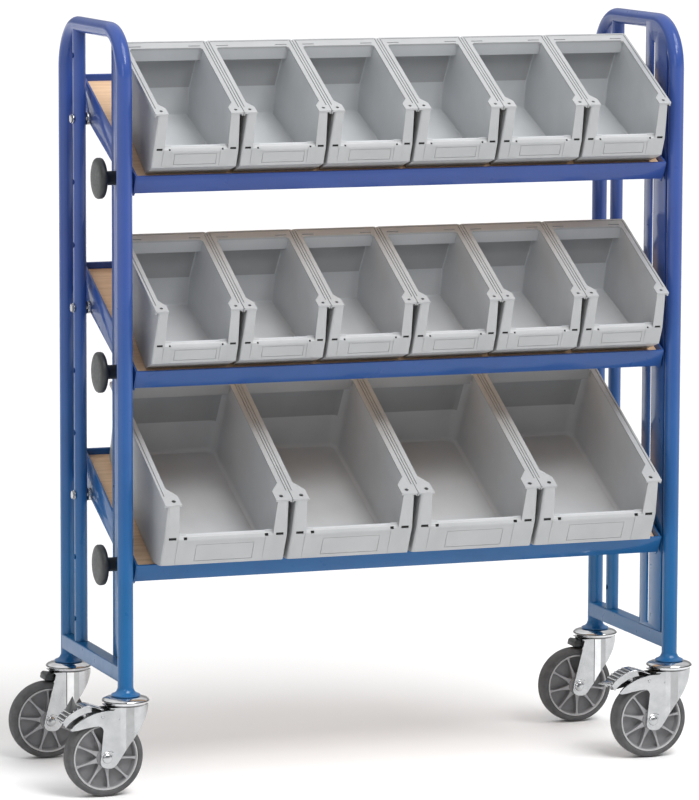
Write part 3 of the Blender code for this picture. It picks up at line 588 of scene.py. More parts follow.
def buildGuideTube(sideName, side):
    radius = guide["radius"]
    top = tube["top"] - 6
    piece = startRod("guideTube_" + sideName, (0, guide["y"], guide["low"]), (0, guide["y"], top), radius, 40)
    dents, holes = [], []
    for index in range(guide["count"]):
        z = guide["first"] + index * guide["pitch"]
        for face in (-1, 1):
            bpy.ops.mesh.primitive_uv_sphere_add(
                segments=24, ring_count=12, radius=guide["dent"] * mm,
                location=(face * (radius + guide["dent"] - guide["dentDepth"]) * mm, guide["y"] * mm, z * mm))
            dent = nameIt("dent")
            bakePlace(dent)
            dents.append(dent)
        holes.append(startRod("hole", (-20, guide["y"], z), (20, guide["y"], z), guide["hole"], 24))
    carve(piece, gather(*dents), gather(*holes))
    arch = startRod("archClearance", (0, -20, tube["top"]), (0, 400, tube["top"]), tube["radius"] + 0.2, 40)
    carve(piece, arch)
    smoothOff(piece, 32)
    settle(piece, Matrix.Translation(toFloor(side * tube["x"], 0, 0)))
    finishPiece(piece, "cart_base", blueLook, "blue_powder_coat", "guide_tube_" + sideName)


for sideName, side in sides:
    buildGuideTube(sideName, side)
print("guide tubes pierced")


# slot plates and shelf frames keep their solids' shapes, with folded and brushed-over edges
def easeNode(node, name, body, look, slotName, width):
    piece = copyNode(node, name)
    tidyPlanes(piece)
    roundOff(piece, width)
    smoothOff(piece, 40)
    finishPiece(piece, body, look, slotName, node)


for sideName, side in sides:
    easeNode("slot_plate_" + sideName, "slotPlate_" + sideName, "cart_base", blueLook, "blue_powder_coat", 0.5)
for shelfName in shelfNames:
    for kind, label, look, slotName, width in (("frame", "Frame", blueLook, "blue_powder_coat", 0.7),
                                               ("board", "Board", boardLook, "wood_board", 0.4)):
        easeNode("shelf_%s_%s" % (kind, shelfName), "shelf%s_%s" % (label, shelfName), "shelf_" + shelfName,
                 look, slotName, width)
print("plates and shelves eased")


# open-front bins, all lengths in millimetres: across, back from the front, up from the board
# inset: how far the walls stand in at each corner; catch, lipMark: place from the side, half sizes
smallBin = {
    "name": "smallBin", "half": 73.3, "length": 232.2, "height": 128.0, "padHeight": 123.6, "reach": 7.8,
    "toe": 32.0, "chin": 31.5, "lip": 66.0, "stileBack": 10.5, "wall": 2.3, "rim": 11.6, "rimRear": 22.0,
    "rear": ((0, 211.0), (45, 227.6), (113, 228.4)), "band": 104.0, "corner": (4.5, 3.0, 3.5),
    "inset": {"front": 1.9, "stileTop": 5.6, "rearTop": 8.2, "toe": 5.0, "rearFloor": 17.0},
    "opening": (20.6, 20.2), "pad": (21.4, 27.0, 41.0), "hole": (19.0, 11.2, 2.8),
    "lipMark": (9.5, 1.6, 0.9), "catch": (63.4, 11.9, 5.0, 2.0), "label": (71.0, 19.5, 36.0),
    "pitch": 147.8, "shift": 2.0}
largeBin = {
    "name": "largeBin", "half": 106.9, "length": 353.8, "height": 146.0, "padHeight": 141.0, "reach": 30.5,
    "toe": 56.0, "chin": 32.5, "lip": 86.0, "stileBack": 14.5, "wall": 2.6, "rim": 12.5, "rimRear": 21.0,
    "rear": ((0, 345.5), (62, 350.4), (131, 347.6)), "band": 124.0, "corner": (20.0, 5.0, 9.0),
    "inset": {"front": 2.1, "stileTop": 5.0, "rearTop": 8.6, "toe": 7.0, "rearFloor": 12.0},
    "opening": (23.4, 27.6), "pad": (27.5, 38.0, 60.0), "hole": (24.3, 16.5, 3.6),
    "lipMark": (11.5, 3.1, 1.6), "catch": (83.0, 16.5, 6.4, 2.5), "label": (98.0, 32.0, 38.5),
    "pitch": 215.0, "shift": -4.3}
# outline of the rolled lip and of its end blocks: depth, and height from the lip's top
lipShape = ((-0.5, -9.5), (-0.5, -6.8), (0.2, -5.0), (3.2, -1.6), (6.0, -0.4), (9.6, 0), (9.6, -2.4), (5.5, -3.2),
            (1.6, -8.0))
lipEndShape = ((-1.1, -6.5), (0.4, -3.4), (8.0, 0.5), (10.1, 0.5), (10.1, -2.9), (2.0, -6))


def binBody(shape):
    inset, half, top, rear = shape["inset"], shape["half"], shape["padHeight"], shape["rear"]
    profile = [(shape["toe"], 0), (-1.2, shape["chin"]), (0, shape["lip"] - 5), (shape["stileBack"], top)]
    profile += [(rear[-1][1] + 0.6, top)] + [(back, up) for up, back in reversed(rear)]
    body = drawOutline(shape["name"] + "Body", profile, -half, half, sidePlane)
    length = rear[0][1]

    def insetAt(back, up):
        if back < shape["stileBack"] + 1 and up > shape["chin"] - 1:
            share = max(0.0, (up - shape["lip"]) / (top - shape["lip"]))
            return inset["front"] + (inset["stileTop"] - inset["front"]) * share
        along = (back - shape["toe"]) / (length - shape["toe"])
        low = inset["toe"] + (inset["rearFloor"] - inset["toe"]) * along
        high = inset["rearTop"]
        return low + (high - low) * up / top

    for back, up in profile:
        for side in (-1, 1):
            spot = Vector((side * half, back, up))
            nudge(body, lambda p: (p - spot).length < 0.05, (-side * insetAt(back, up), 0, 0))
    rearRadius, frontRadius, floorRadius = shape["corner"]
    limit = half - 30

    def upright(a, b):
        return abs(a.z - b.z) > 5 and min(abs(a.x), abs(b.x)) > limit

    def alongRear(a, b):
        return min(a.y, b.y) > length - 5 and upright(a, b)

    def alongFront(a, b):
        return max(a.y, b.y) < shape["stileBack"] + 1 and upright(a, b)

    def alongFloor(a, b):
        return max(a.z, b.z) < 1 and not (abs(a.x - b.x) > 5 and a.y < length - 5)

    softenEdges(body, alongRear, rearRadius, 5)
    softenEdges(body, alongFloor, floorRadius, 3)
    softenEdges(body, alongFront, frontRadius, 3)
    dropFaces(body, lambda c, n: n.z > 0.9 and c.z > top - 3)
    return finishWith(body, "SOLIDIFY", thickness=shape["wall"] * mm, offset=-1, use_even_offset=True)


def binRim(shape):
    half, length, top = shape["half"], shape["length"], shape["padHeight"]
    padIn, padBack, rimStart = shape["pad"]
    inner, deep, front = shape["rim"], shape["rimRear"], shape["stileBack"] - 1.0
    outside = [(half - 1.5, front), (half, front + 1.5), (half, length - 4), (half - 1.2, length - 1.2),
               (half - 4, length)]
    inside = [(half - inner - 4, length - deep), (half - inner, length - deep - 4), (half - inner, rimStart),
              (half - padIn, padBack), (half - padIn, front)]
    loop = outside + [(-x, y) for x, y in reversed(outside)]
    loop += [(-x, y) for x, y in reversed(inside)] + inside
    rim = drawOutline(shape["name"] + "Rim", loop, top - 3.2, top, flatPlane)
    # the rim climbs towards the rear
    rise = shape["height"] - top
    for y in sorted(set(round(y, 3) for x, y in loop)):
        share = max(0.0, (y - rimStart) / (length - rimStart))
        if share > 0:
            nudge(rim, lambda p: abs(p.y - y) < 0.02, (0, 0, rise * share))
    return rim


def binSkirt(shape):  # the outer edge of the rim turns down
    half, length, top = shape["half"], shape["length"], shape["padHeight"]
    rise, front = shape["height"] - top, shape["stileBack"] + 1
    drop, thick = 7.0, 2.2
    loop = [(half, front), (half, length), (-half, length), (-half, front)]
    loop += [(-half + thick, front), (-half + thick, length - thick), (half - thick, length - thick),
             (half - thick, front)]
    skirt = drawOutline(shape["name"] + "Skirt", loop, top - drop, top - 1, flatPlane)
    innerRise = rise * (length - thick - front) / (length - front)
    nudge(skirt, lambda p: p.y > length - 0.5, (0, 0, rise))
    nudge(skirt, lambda p: length - 5 < p.y < length - 0.5, (0, 0, innerRise))
    return skirt


def closeSlivers(piece):  # points closer than a hair are one point, and no small gap stays open
    pickPoints(piece, lambda p: True)
    bpy.ops.mesh.remove_doubles(threshold=0.03 * mm)
    bpy.ops.mesh.fill_holes(sides=8)
    doneEditing()


def addLip(body, shape):  # the rolled lip along the front, with end blocks beside the stiles
    lip, low = shape["lip"], shape["chin"] + 3
    lipHalf = shape["half"] - shape["opening"][1] + 0.6
    roll = [(back, lip + up) for back, up in lipShape]
    weldOn(body, drawOutline("lip", roll, -lipHalf, lipHalf, sidePlane))
    block = [(-1.6, low)] + [(back, lip + up) for back, up in lipEndShape] + [(1.2, low)]
    for side in (-1, 1):
        weldOn(body, drawBeside("lipEnd", block, side, lipHalf + 0.8, lipHalf - 13, sidePlane))


def pierceBin(body, shape):  # label field, catches, pad holes, marks on the lip and slots in the rim
    half, top, lip = shape["half"], shape["padHeight"], shape["lip"]
    wide, high, rise = shape["label"]
    line = 0.8
    field = startBox("labelLine", (-wide / 2, -6, rise), (wide / 2, 0.3, rise + high))
    carve(field, startBox("labelMiddle", (-wide / 2 + line, -9, rise + line),
                          (wide / 2 - line, 3, rise + high - line)))
    carve(body, field)
    catchUp, catchIn, catchHalf, catchRise = shape["catch"]
    holeBack, holeIn, holeRadius = shape["hole"]
    markIn, markHalf, markRise = shape["lipMark"]
    markUp = lip - 3.4
    for side in (-1, 1):
        spot = side * (half - catchIn)
        carve(body, startBox("catch", (spot - catchHalf, -6, catchUp - catchRise),
                             (spot + catchHalf, 1.5, catchUp + catchRise)))
        spot = side * (half - holeIn)
        carve(body, startRod("padHole", (spot, holeBack, top - 2.0), (spot, holeBack, top + 9), holeRadius, 20))
        spot = side * (half - shape["opening"][1] + 0.6 - markIn)
        carve(body, startBox("lipMark", (spot - markHalf, -6, markUp - markRise),
                             (spot + markHalf, 3.4, markUp + markRise)))
        spot, back = side * (half - 23), shape["length"] - shape["rimRear"] + 5.5
        carve(body, startBox("rimSlot", (spot - 10, back - 1.3, shape["height"] - 2.4),
                             (spot + 10, back + 1.3, shape["height"] + 5)))


def grooveRim(body, shape):  # a fine groove runs round the rim, just inside its outer edge
    half, length, top, height = shape["half"], shape["length"], shape["padHeight"], shape["height"]
    for side in (-1, 1):
        line = side * (half - 4.1)
        groove = startBox("groove", (line - 0.8, shape["pad"][1], top - 1.7), (line + 0.8, length - 3.2, top + 2))
        nudge(groove, lambda p: p.y > length - 10, (0, 0, height - top))
        carve(body, groove)
    carve(body, startBox("groove", (-half + 6, length - 4.6, height - 2.2), (half - 6, length - 3.0, height + 2)))


def buildBin(shape):
    half, top, lip = shape["half"], shape["padHeight"], shape["lip"]
    body = binBody(shape)
    openTop, openLow = shape["opening"]
    mouth = [(-half + openLow + 3, lip - 6), (half - openLow - 3, lip - 6), (half - openLow, lip - 3),
             (half - openTop, top + 9), (-half + openTop, top + 9), (-half + openLow, lip - 3)]
    carve(body, drawOutline("mouth", mouth, -6, shape["stileBack"] + 12, frontPlane))
    weldOn(body, binRim(shape))
    weldOn(body, binSkirt(shape))
    bandHalf = half - shape["inset"]["rearTop"] - 1.2
    weldOn(body, startBox("rearBand", (-bandHalf, shape["length"] - shape["rimRear"] + 0.3, shape["band"]),
                          (bandHalf, shape["rear"][-1][1] - 1.0, top + 2)))
    addLip(body, shape)
    pierceBin(body, shape)
    grooveRim(body, shape)
    closeSlivers(body)
    roundOff(body, 0.45, 2, 40)
    smoothOff(body, 32)
    keepCreases(body, shape)
    levelShading(body)
    return body


def keepCreases(body, shape):  # the rear wall stays in flat bands
    mesh = body.data
    for edge in mesh.edges:
        a, b = (mesh.vertices[i].co / mm for i in edge.vertices)
        if min(a.y, b.y) > shape["rear"][0][1] - 8 and abs(a.z - b.z) < 0.5 and abs(a.x - b.x) > 3:
            edge.use_edge_sharp = True


def shadeBinFaces(piece, shape):  # painted shade and light: recesses near black, a band of the rear wall darker, the other inner faces paler
    dressed(piece, binLook, recessShadeLook, shadedBinLook, paintedLitInsideLook)
    catchUp, catchIn, catchHalf, catchRise = shape["catch"]
    holeBack, holeIn, holeRadius = shape["hole"]
    half, top, lip = shape["half"], shape["padHeight"], shape["lip"]
    markIn, markHalf, markRise = shape["lipMark"]
    markSpot, markUp = half - shape["opening"][1] + 0.6 - markIn, lip - 3.4
    inMiddle = Vector((0, shape["length"] / 2, top + 40))
    for face in piece.data.polygons:
        c = face.center / mm
        across = abs(c.x)
        atCatch = abs(across - (half - catchIn)) < catchHalf - 0.3 and abs(c.z - catchUp) < catchRise - 0.2
        atHole = (Vector((across, c.y)) - Vector((half - holeIn, holeBack))).length < holeRadius - 0.3
        atMark = abs(across - markSpot) < markHalf - 0.2 and abs(c.z - markUp) < markRise + 0.1
        recessed = (atCatch and 0.2 < c.y < 4 or atHole and top - 2.6 < c.z < top - 0.6
                    or atMark and 0.4 < c.y < 4)
        onRear = c.y > shape["length"] - 45 and across < half - 9 and face.normal.y < -0.8
        # painted shade: the recesses are coloured near black
        if recessed:
            face.material_index = 1
        # painted shade: a band of the rear wall is darker
        elif onRear and shape["rear"][1][0] - 1 < c.z < shape["band"]:
            face.material_index = 2
        # painted light: the other inner faces are paler
        elif face.normal.dot(inMiddle - c) > 0 and c.z < top - 6 and c.y > 6:
            face.material_index = 3


def placeBins(shape, master, shelfName, count):
    place = shelfPlace(shelfName)
    kind = "small" if shape is smallBin else "large"
    for index in range(count):
        node = "%s_bin_%s_%d" % (kind, shelfName, index + 1)
        piece = copyOf(master, "%s_%s_%d" % (shape["name"], shelfName, index + 1))
        x = shape["shift"] + (index - (count - 1) / 2) * shape["pitch"]
        spot = Matrix.Translation(Vector((x, -257.3 - shape["reach"], 33.4)) * mm)
        finishPiece(piece, node, None, "grey_bin_plastic", node)
        shadeBinFaces(piece, shape)
        piece.parent = None
        settle(piece, place @ spot)
        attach(piece, node)


for shape, rows in ((smallBin, (("top", 6), ("middle", 6))), (largeBin, (("bottom", 4),))):
    master = buildBin(shape)
    for shelfName, count in rows:
        placeBins(shape, master, shelfName, count)
    clearAway(master)
print("bins set out")


# casters: millimetres from each swivel axis, with the wheel trailing to the left
caster = {"trail": 38.0, "radius": 64.25, "foot": 160.7, "crown": 145.6, "half": 22.25, "sheet": 3.0}
wheelShape = {
    "tyre": ((53.7, 13.6), (54.5, 15.1), (56.8, 15.9), (60.0, 15.5), (62.4, 13.6), (63.7, 10.4), (64.25, 5.0)),
    "ring": ((51.2, 11.6), (51.3, 14.7), (51.8, 15.4), (53.1, 15.4), (53.8, 14.7), (53.8, 11.6)),
    "centre": ((53.6, 13.2), (50.6, 13.2), (49.8, 12.0), (48.4, 4.8), (47.2, 3.4), (18.8, 3.4), (17.0, 5.2),
               (15.8, 15.4), (14.6, 17.4), (12.0, 18.2), (4.6, 18.2)),
    "spokes": 9, "spokeHeight": 12.9, "spokeLift": 2.4, "crest": 11.6,
    "spoke": ((13.8, 5.6), (18.0, 3.9), (23.5, 2.6), (31.5, 1.7), (40.0, 1.35), (46.0, 1.6), (51.4, 3.0))}
wheelTurn = {"front_left": -4, "front_right": 8, "rear_left": 12, "rear_right": -10}
corners = (("front_left", -1, 0.0), ("front_right", 1, 0.0), ("rear_left", -1, 319.0), ("rear_right", 1, 319.0))


def withMirror(points):  # a half outline and its mirror image
    return list(points) + [(x, -y) for x, y in reversed(points)]


def closed(loop):
    return loop + loop[:1]


def buildWheel():
    upright = Matrix.Identity(4)
    tyre = turnProfile("tyre", closed(withMirror(wheelShape["tyre"])), 72, upright)
    smoothOff(tyre, 50)
    rings = []
    for face in (-1, 1):
        loop = [(radius, face * height) for radius, height in wheelShape["ring"]]
        rings.append(turnProfile("ring", closed(loop), 72, upright))
    ring = gather(*rings)
    smoothOff(ring, 40)
    centre = turnProfile("wheelCentre", closed(withMirror(wheelShape["centre"])), 72, upright)
    reach, lift = wheelShape["spokeHeight"], wheelShape["spokeLift"]
    side = wheelShape["spoke"]
    spoke = drawOutline("spoke", withMirror(side), -reach, reach, flatPlane)
    for x, w in side:
        share = (side[-1][0] - x) / (side[-1][0] - side[0][0])
        for face in (-1, 1):
            nudge(spoke, lambda p: abs(p.x - x) < 0.05 and p.z * face > 1, (0, 0, face * lift * share * share))
    spokes = [spoke]
    for index in range(1, wheelShape["spokes"]):
        turn = Matrix.Rotation(math.tau * index / wheelShape["spokes"], 4, "Z")
        spokes.append(settle(copyOf(spoke, "spoke"), turn))
    weldOn(centre, gather(*spokes))
    roundOff(centre, 0.3, 1, 30)
    smoothOff(centre, 30)
    dressed(centre, centreLook, crestHighlightLook)
    # painted highlight: the spokes' outer crests are paler
    for face in centre.data.polygons:
        spot = face.center / mm
        outside = abs(spot.z) > wheelShape["crest"] and abs(face.normal.z) > 0.7
        face.material_index = 1 if outside and math.hypot(spot.x, spot.y) > 14 else 0
    return gather(dressed(tyre, tyreLook), dressed(ring, ringLook), centre)


def toCaster(points):  # from the hub to the swivel axis
    return [(x - caster["trail"], z + caster["radius"]) for x, z in points]


headShape = ((0, 0), (23.6, 0), (29.5, -0.7), (34.6, -2.4), (37.6, -4.6), (38.5, -6.3), (38.3, -7.5), (37.3, -8.1),
             (36.0, -7.9), (35.2, -8.3), (34.6, -10.2), (33.4, -12.4), (31.6, -13.8), (29.8, -14.3), (0, -14.3))


def buildHead():  # the swivel bearing under each foot
    profile = [(radius, caster["foot"] - 0.4 + height) for radius, height in headShape]
    head = turnProfile("swivelHead", profile, 64, Matrix.Identity(4))
    smoothOff(head, 50)
    return head


# side outline of each fork, measured from the hub
forkFoot = ((-11.1, -6.6), (-9.5, -11.5), (-5.8, -15.0), (-0.6, -16.7), (6.7, -17.1), (11.9, -15.6), (16.0, -11.9),
            (21.2, -4.7), (56.5, 41.7), (68.4, 59.6), (72.0, 67.5), (75.0, 73.8), (76.2, 81.35))
brakedBack = ((5.0, 81.35), (6.0, 79.6), (14.0, 79.2), (11.0, 77.4), (2.0, 77.2), (-10.0, 76.4), (-22.0, 73.8),
              (-34.0, 69.4), (-45.0, 63.8), (-54.0, 57.8), (-59.8, 51.6), (-60.2, 49.0), (-57.6, 47.6),
              (-48.4, 48.3), (-37.0, 50.6), (-24.7, 52.4), (-15.4, 53.2), (-10.5, 52.2), (-7.4, 49.5), (-5.8, 45.2))
plainBack = ((5.0, 81.35), (9.8, 78.2), (7.2, 67.8), (-9.7, 2.0))
# half outline of each fork, seen from above, from the swivel axis
brakedPlan = ((-108.0, 22.25), (-15.4, 22.25), (-14.0, 21.8), (-5.0, 19.3), (9.0, 18.7), (16.0, 17.4),
              (23.0, 14.9), (29.0, 11.3), (34.0, 6.7), (37.2, 2.8), (38.3, 0.0))
plainPlan = ((-108.0, 22.25), (-10.6, 22.25), (-9.0, 21.7), (4.0, 17.9), (13.0, 17.4), (19.0, 16.2),
             (25.0, 13.8), (30.0, 10.6), (34.4, 6.4), (37.3, 2.7), (38.3, 0.0))
# the small wedge pressed into each cheek, from its own spot
notchShape = ((-5, 0.6), (0, 0.4), (4.6, -2.2), (4.0, -3.4), (-0.4, -1.0), (-5, -0.8))
axleWasher = ((0, 0.9), (9.6, 0.9), (10.2, 0.5), (10.2, -0.6), (0, -0.6))
axleCap = ((0, 5.0), (3.2, 4.9), (5.8, 4.2), (7.4, 3.0), (8.2, 1.6), (8.2, 0.2), (0, 0.2))
forkSpots = {"rivet": (-7.2, 67.6, 3.2), "dimple": (20.0, 63.7, 1.9), "notch": (5.7, 12.1),
             "pin": (-27.0, 67.45)}
visorShape = ((-30.0, -3.4), (-41.0, -1.6), (-44.5, -4.5), (-46.0, -12.8), (-43.0, -13.6), (-30.0, -13.6))


def planLoop(points, inset, reach):
    side = [(x - (inset if y < 20 else 0) * 0.8, max(0.0, y - inset)) for x, y in points]
    side[0] = (reach, side[0][1])
    return side + [(x, -y) for x, y in reversed(side) if y > 0.01]


def addWingParts(body, face):  # rolled edge, rivet and dimple on one cheek of a braked fork
    hubX, hubZ, half = -caster["trail"], caster["radius"], caster["half"]
    edge = toCaster(brakedBack[5:11])
    lipLine = edge + [(x + 0.6, z - 2.2) for x, z in reversed(edge)]
    lip = drawBeside("wingLip", lipLine, face, half - 1.5, half + 1.1, frontPlane)
    roundOff(lip, 0.5, 2, 30)
    x, z, radius = forkSpots["rivet"]
    spot = (x + hubX, face * (half + 1.2), z + hubZ)
    rivet = startRod("rivet", (spot[0], face * (half - 1), spot[2]), spot, radius, 20, radius * 0.6)
    x, z, radius = forkSpots["dimple"]
    carve(body, startRod("dimple", (x + hubX, face * (half - 0.8), z + hubZ),
                         (x + hubX, face * (half + 2), z + hubZ), radius, 16))
    weldOn(body, lip, rivet)


def addAxle(body):
    hubX, hubZ, half = -caster["trail"], caster["radius"], caster["half"]
    weldOn(body, startRod("axle", (hubX, -half, hubZ), (hubX, half, hubZ), 4.0, 24))
    for face in (-1, 1):
        spot = Matrix.Translation(Vector((hubX, face * half, hubZ)) * mm)
        turn = spot @ Matrix.Rotation(-face * math.pi / 2, 4, "X")
        weldOn(body, turnProfile("axleWasher", axleWasher, 40, turn), turnProfile("axleCap", axleCap, 40, turn))


def shadeFork(body, braked, plan):  # painted shade and light on each cheek: a dark crease, a pale lit fold and a darker front
    dressed(body, zincLook, paintedShadeZincLook, paintedLitFacetLook, paintedShadeFacetLook)
    for face in body.data.polygons:
        c = face.center / mm
        if abs(c.y) > 16.5 and abs(face.normal.y) > 0.9 and c.z > 30 and c.x < plan[4][0]:
            part = sum(c.x > line for line in (plan[1][0], plan[2][0], plan[3][0]))
            face.material_index = 0 if braked and part < 3 else part


def buildVisor():  # a black block behind the crown of a plain fork
    visor = drawOutline("visor", [(x, caster["crown"] + up) for x, up in visorShape], -15, 15, frontPlane)
    roundOff(visor, 1.4, 3, 30)
    smoothOff(visor, 40)
    return dressed(visor, blackLook)


def buildFork(name, braked):
    body = drawOutline(name, toCaster(forkFoot + (brakedBack if braked else plainBack)), -30, 30, frontPlane)
    plan = brakedPlan if braked else plainPlan
    carve(body, drawOutline("plan", planLoop(plan, 0, -108), 30, 170, flatPlane), how="INTERSECT")
    inside = caster["crown"] - caster["sheet"]
    carve(body, drawOutline("hollow", planLoop(plan, caster["sheet"], -120), 0, inside, flatPlane))
    half = caster["half"]
    notchX, notchZ = toCaster([forkSpots["notch"]])[0]
    notch = [(notchX + x, notchZ + z) for x, z in notchShape]
    for face in (-1, 1):
        carve(body, drawBeside("notch", notch, face, half - 1.2, half + 2, frontPlane))
    roundOff(body, 0.75, 2, 30)
    if braked:
        for face in (-1, 1):
            addWingParts(body, face)
        pinX, pinZ = toCaster([forkSpots["pin"]])[0]
        weldOn(body, startRod("pedalPin", (pinX, -20, pinZ), (pinX, 20, pinZ), 3.0, 24))
    addAxle(body)
    smoothOff(body, 14)
    levelShading(body)
    shadeFork(body, braked, plan)
    return body if braked else gather(body, buildVisor())


# the tab is a triangle of two root corners and the tip
pedalShape = {
    "top": ((-4.5, 79.6), (-20.0, 85.0), (-28.0, 86.6), (-37.0, 85.4), (-49.0, 81.0), (-59.5, 75.2),
            (-67.0, 69.4), (-72.6, 63.0)),
    "half": 17.6, "sheet": 2.6, "ribs": 6, "rib": 1.7,
    "arm": ((-32.4, 67.8), (-21.4, 67.8), (-23.1, 85.0), (-34.0, 84.4)),
    "tab": {"front_left": ((-60.5, 76.0), (-47.0, 82.0), (-51.0, 100.5)),
            "front_right": ((-66.0, 68.5), (-68.5, 60.5), (-91.0, 63.5))}}


def alongLine(points, share):  # a place on a bent line, by its share of the length
    pairs = list(zip(points, points[1:]))
    lengths = [(Vector(b) - Vector(a)).length for a, b in pairs]
    rest = share * sum(lengths)
    for (a, b), length in zip(pairs, lengths):
        if rest <= length:
            return Vector(a).lerp(Vector(b), rest / length)
        rest -= length
    return Vector(points[-1])


def offLine(spot, start, end):  # how far a spot is from a stretch of the outline
    a, b, p = Vector(start), Vector(end), Vector((spot.x, spot.z))
    share = min(1.0, max(0.0, (p - a).dot(b - a) / (b - a).length_squared))
    return (p - a.lerp(b, share)).length


def buildTab(corner):
    outline = toCaster(pedalShape["tab"][corner])
    tab = drawOutline("pedalTab", outline, -13.5, 13.5, frontPlane)
    tip = Vector(outline[2])
    for face in (-1, 1):
        nudge(tab, lambda p: (Vector((p.x, p.z)) - tip).length < 0.5 and p.y * face > 1, (0, -face * 11.5, 0))
    roundOff(tab, 0.6, 2, 20)
    dressed(tab, blackLook if corner == "front_left" else zincLook)
    smoothOff(tab, 30)
    return tab


def buildPedal(corner):
    top = toCaster(pedalShape["top"])
    sheet, half = pedalShape["sheet"], pedalShape["half"]
    under = [(x + sheet * 0.45, z - sheet * 0.9) for x, z in reversed(top)]
    pedal = drawOutline("brakePedal_" + corner, top + under, -half, half, frontPlane)
    roundOff(pedal, 0.5, 2, 50)
    upper = top[2:-1] + [(top[-1][0] + 0.6, top[-1][1] + 0.5)]
    side = upper + [(x + 4.6, z - 10.5) for x, z in reversed(upper)]
    for face in (-1, 1):  # folded sides
        fold = drawBeside("pedalSide", side, face, half - 2.3, half + 0.2, frontPlane)
        roundOff(fold, 0.4, 1, 50)
        weldOn(pedal, fold)
    for index in range(pedalShape["ribs"]):
        x, z = alongLine(top[3:], (index + 0.5) / pedalShape["ribs"])
        weldOn(pedal, startRod("pedalRib", (x, -half + 1.6, z), (x, half - 1.6, z), pedalShape["rib"], 12))
    pinX, pinZ = toCaster([forkSpots["pin"]])[0]
    eye = startRod("pedalEye", (pinX, -12, pinZ), (pinX, 12, pinZ), 6.2, 28)
    arm = drawOutline("pedalArm", toCaster(pedalShape["arm"]), -11, 11, frontPlane)
    weldOn(pedal, arm, eye)
    carve(pedal, startRod("pedalBore", (pinX, -30, pinZ), (pinX, 30, pinZ), 3.3, 24))
    dressed(pedal, zincLook, paintedShadeZincLook)
    # painted shade: the strips between the ribs get the near black zinc
    for face in pedal.data.polygons:  # the flat strips between the ribs lie in their shade
        c = face.center / mm
        away = min(offLine(c, a, b) for a, b in zip(top[3:], top[4:]))
        face.material_index = 1 if away < 0.25 and abs(c.y) < half - 1.8 and face.normal.z > 0.4 else 0
    smoothOff(pedal, 30)
    return gather(pedal, buildTab(corner))


wheelMaster = buildWheel()
headMaster = buildHead()
forkMasters = {True: buildFork("forkBraked", True), False: buildFork("forkPlain", False)}
for corner, side, y in corners:
    place = Matrix.Translation(toFloor(side * tube["x"], y, 0))
    head = settle(copyOf(headMaster, "swivelHead_" + corner), place)
    finishPiece(head, "cart_base", chromeLook, "bright_zinc", "caster_head_" + corner)
    braked = corner.startswith("front")
    fork = settle(copyOf(forkMasters[braked], "fork_" + corner), place)
    finishPiece(fork, "caster_" + corner, None, "bright_zinc", "caster_fork_" + corner)
    hub = Matrix.Translation(Vector((-caster["trail"], 0, caster["radius"])) * mm)
    lay = Matrix.Rotation(math.pi / 2, 4, "X") @ Matrix.Rotation(math.radians(wheelTurn[corner]), 4, "Z")
    wheel = settle(copyOf(wheelMaster, "wheel_" + corner), place @ hub @ lay)
    finishPiece(wheel, "wheel_" + corner, None, "grey_tyre", "wheel_" + corner)
    if braked:
        pedal = settle(buildPedal(corner), place)
        finishPiece(pedal, "pedal_" + corner, None, "bright_zinc", "brake_pedal_" + corner)
clearAway(wheelMaster, headMaster, *forkMasters.values())
print("casters fitted")


# bolts and knobs, drawn along X outwards from the middle of the cart
knobRoot = 467.5  # where a knob's collar begins
knobShape = ((0, 38.0), (12, 37.9), (22, 37.5), (29, 36.8), (31.8, 35.6), (33.0, 33.6), (33.0, 28.6), (32.4, 26.8),
             (31.0, 25.8), (24, 25.9), (16, 26.6), (13.0, 27.0), (11.8, 25.6), (11.4, 20), (11.5, 0), (0, 0))
# each rod: name, start, end, radius, sides, eased edge
boltRods = {
    "clampBolt": (("clampBolt", 455.2, 450.2, 6.1, 6, 0.5), ("shank", 454, 490.8, 4.0, 24, 0),
                  ("washer", 458.9, 463.3, 10.0, 36, 0.35)),
    "pivotBolt": (("pivotBolt", 487.6, 492.0, 7.1, 6, 0.5), ("collar", 487.55, 488.6, 7.6, 32, 0),
                  ("shank", 449.5, 488, 4.0, 24, 0), ("spacer", 458.9, 465.3, 10.4, 40, 0.6),
                  ("nut", 455.1, 448.8, 7.5, 6, 0.5))}


def alongX(side, x):
    return Matrix.Translation(Vector((side * x, 0, 0)) * mm) @ Matrix.Rotation(side * math.pi / 2, 4, "Y")


def buildKnob(side):
    knob = turnProfile("clampKnob", knobShape, 56, alongX(side, knobRoot))
    carve(knob, startRod("knobBore", (side * 460, 0, 0), (side * 491.6, 0, 0), 4.35, 24))
    smoothOff(knob, 40)
    return knob


def buildBolt(kind, side):
    rods = []
    for name, start, end, radius, count, ease in boltRods[kind]:
        rods.append(startRod(name, (side * start, 0, 0), (side * end, 0, 0), radius, count))
        if ease:
            roundOff(rods[-1], ease, 2, 30)
    weldOn(*rods)
    smoothOff(rods[0], 30)
    return rods[0]


def placeFastener(master, kind, label, shelfName, sideName):
    node = "%s_%s_%s" % (kind, shelfName, sideName)
    low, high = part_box(node)
    spot = Vector((frameX, (low.y + high.y) / 2, (low.z + high.z) / 2))
    piece = settle(copyOf(master, "%s_%s_%s" % (label, shelfName, sideName)), Matrix.Translation(spot))
    look, slotName = (blackLook, "black_plastic") if kind == "clamp_knob" else (zincLook, "bright_zinc")
    finishPiece(piece, "cart_base" if kind == "pivot_bolt" else node, look, slotName, node)


for sideName, side in sides:
    masters = (("clamp_knob", "clampKnob", buildKnob(side)),
               ("clamp_bolt", "clampBolt", buildBolt("clampBolt", side)),
               ("pivot_bolt", "pivotBolt", buildBolt("pivotBolt", side)))
    for shelfName in shelfNames:
        for kind, label, master in masters:
            placeFastener(master, kind, label, shelfName, sideName)
    clearAway(*(master for kind, label, master in masters))
print("bolts and knobs fitted")


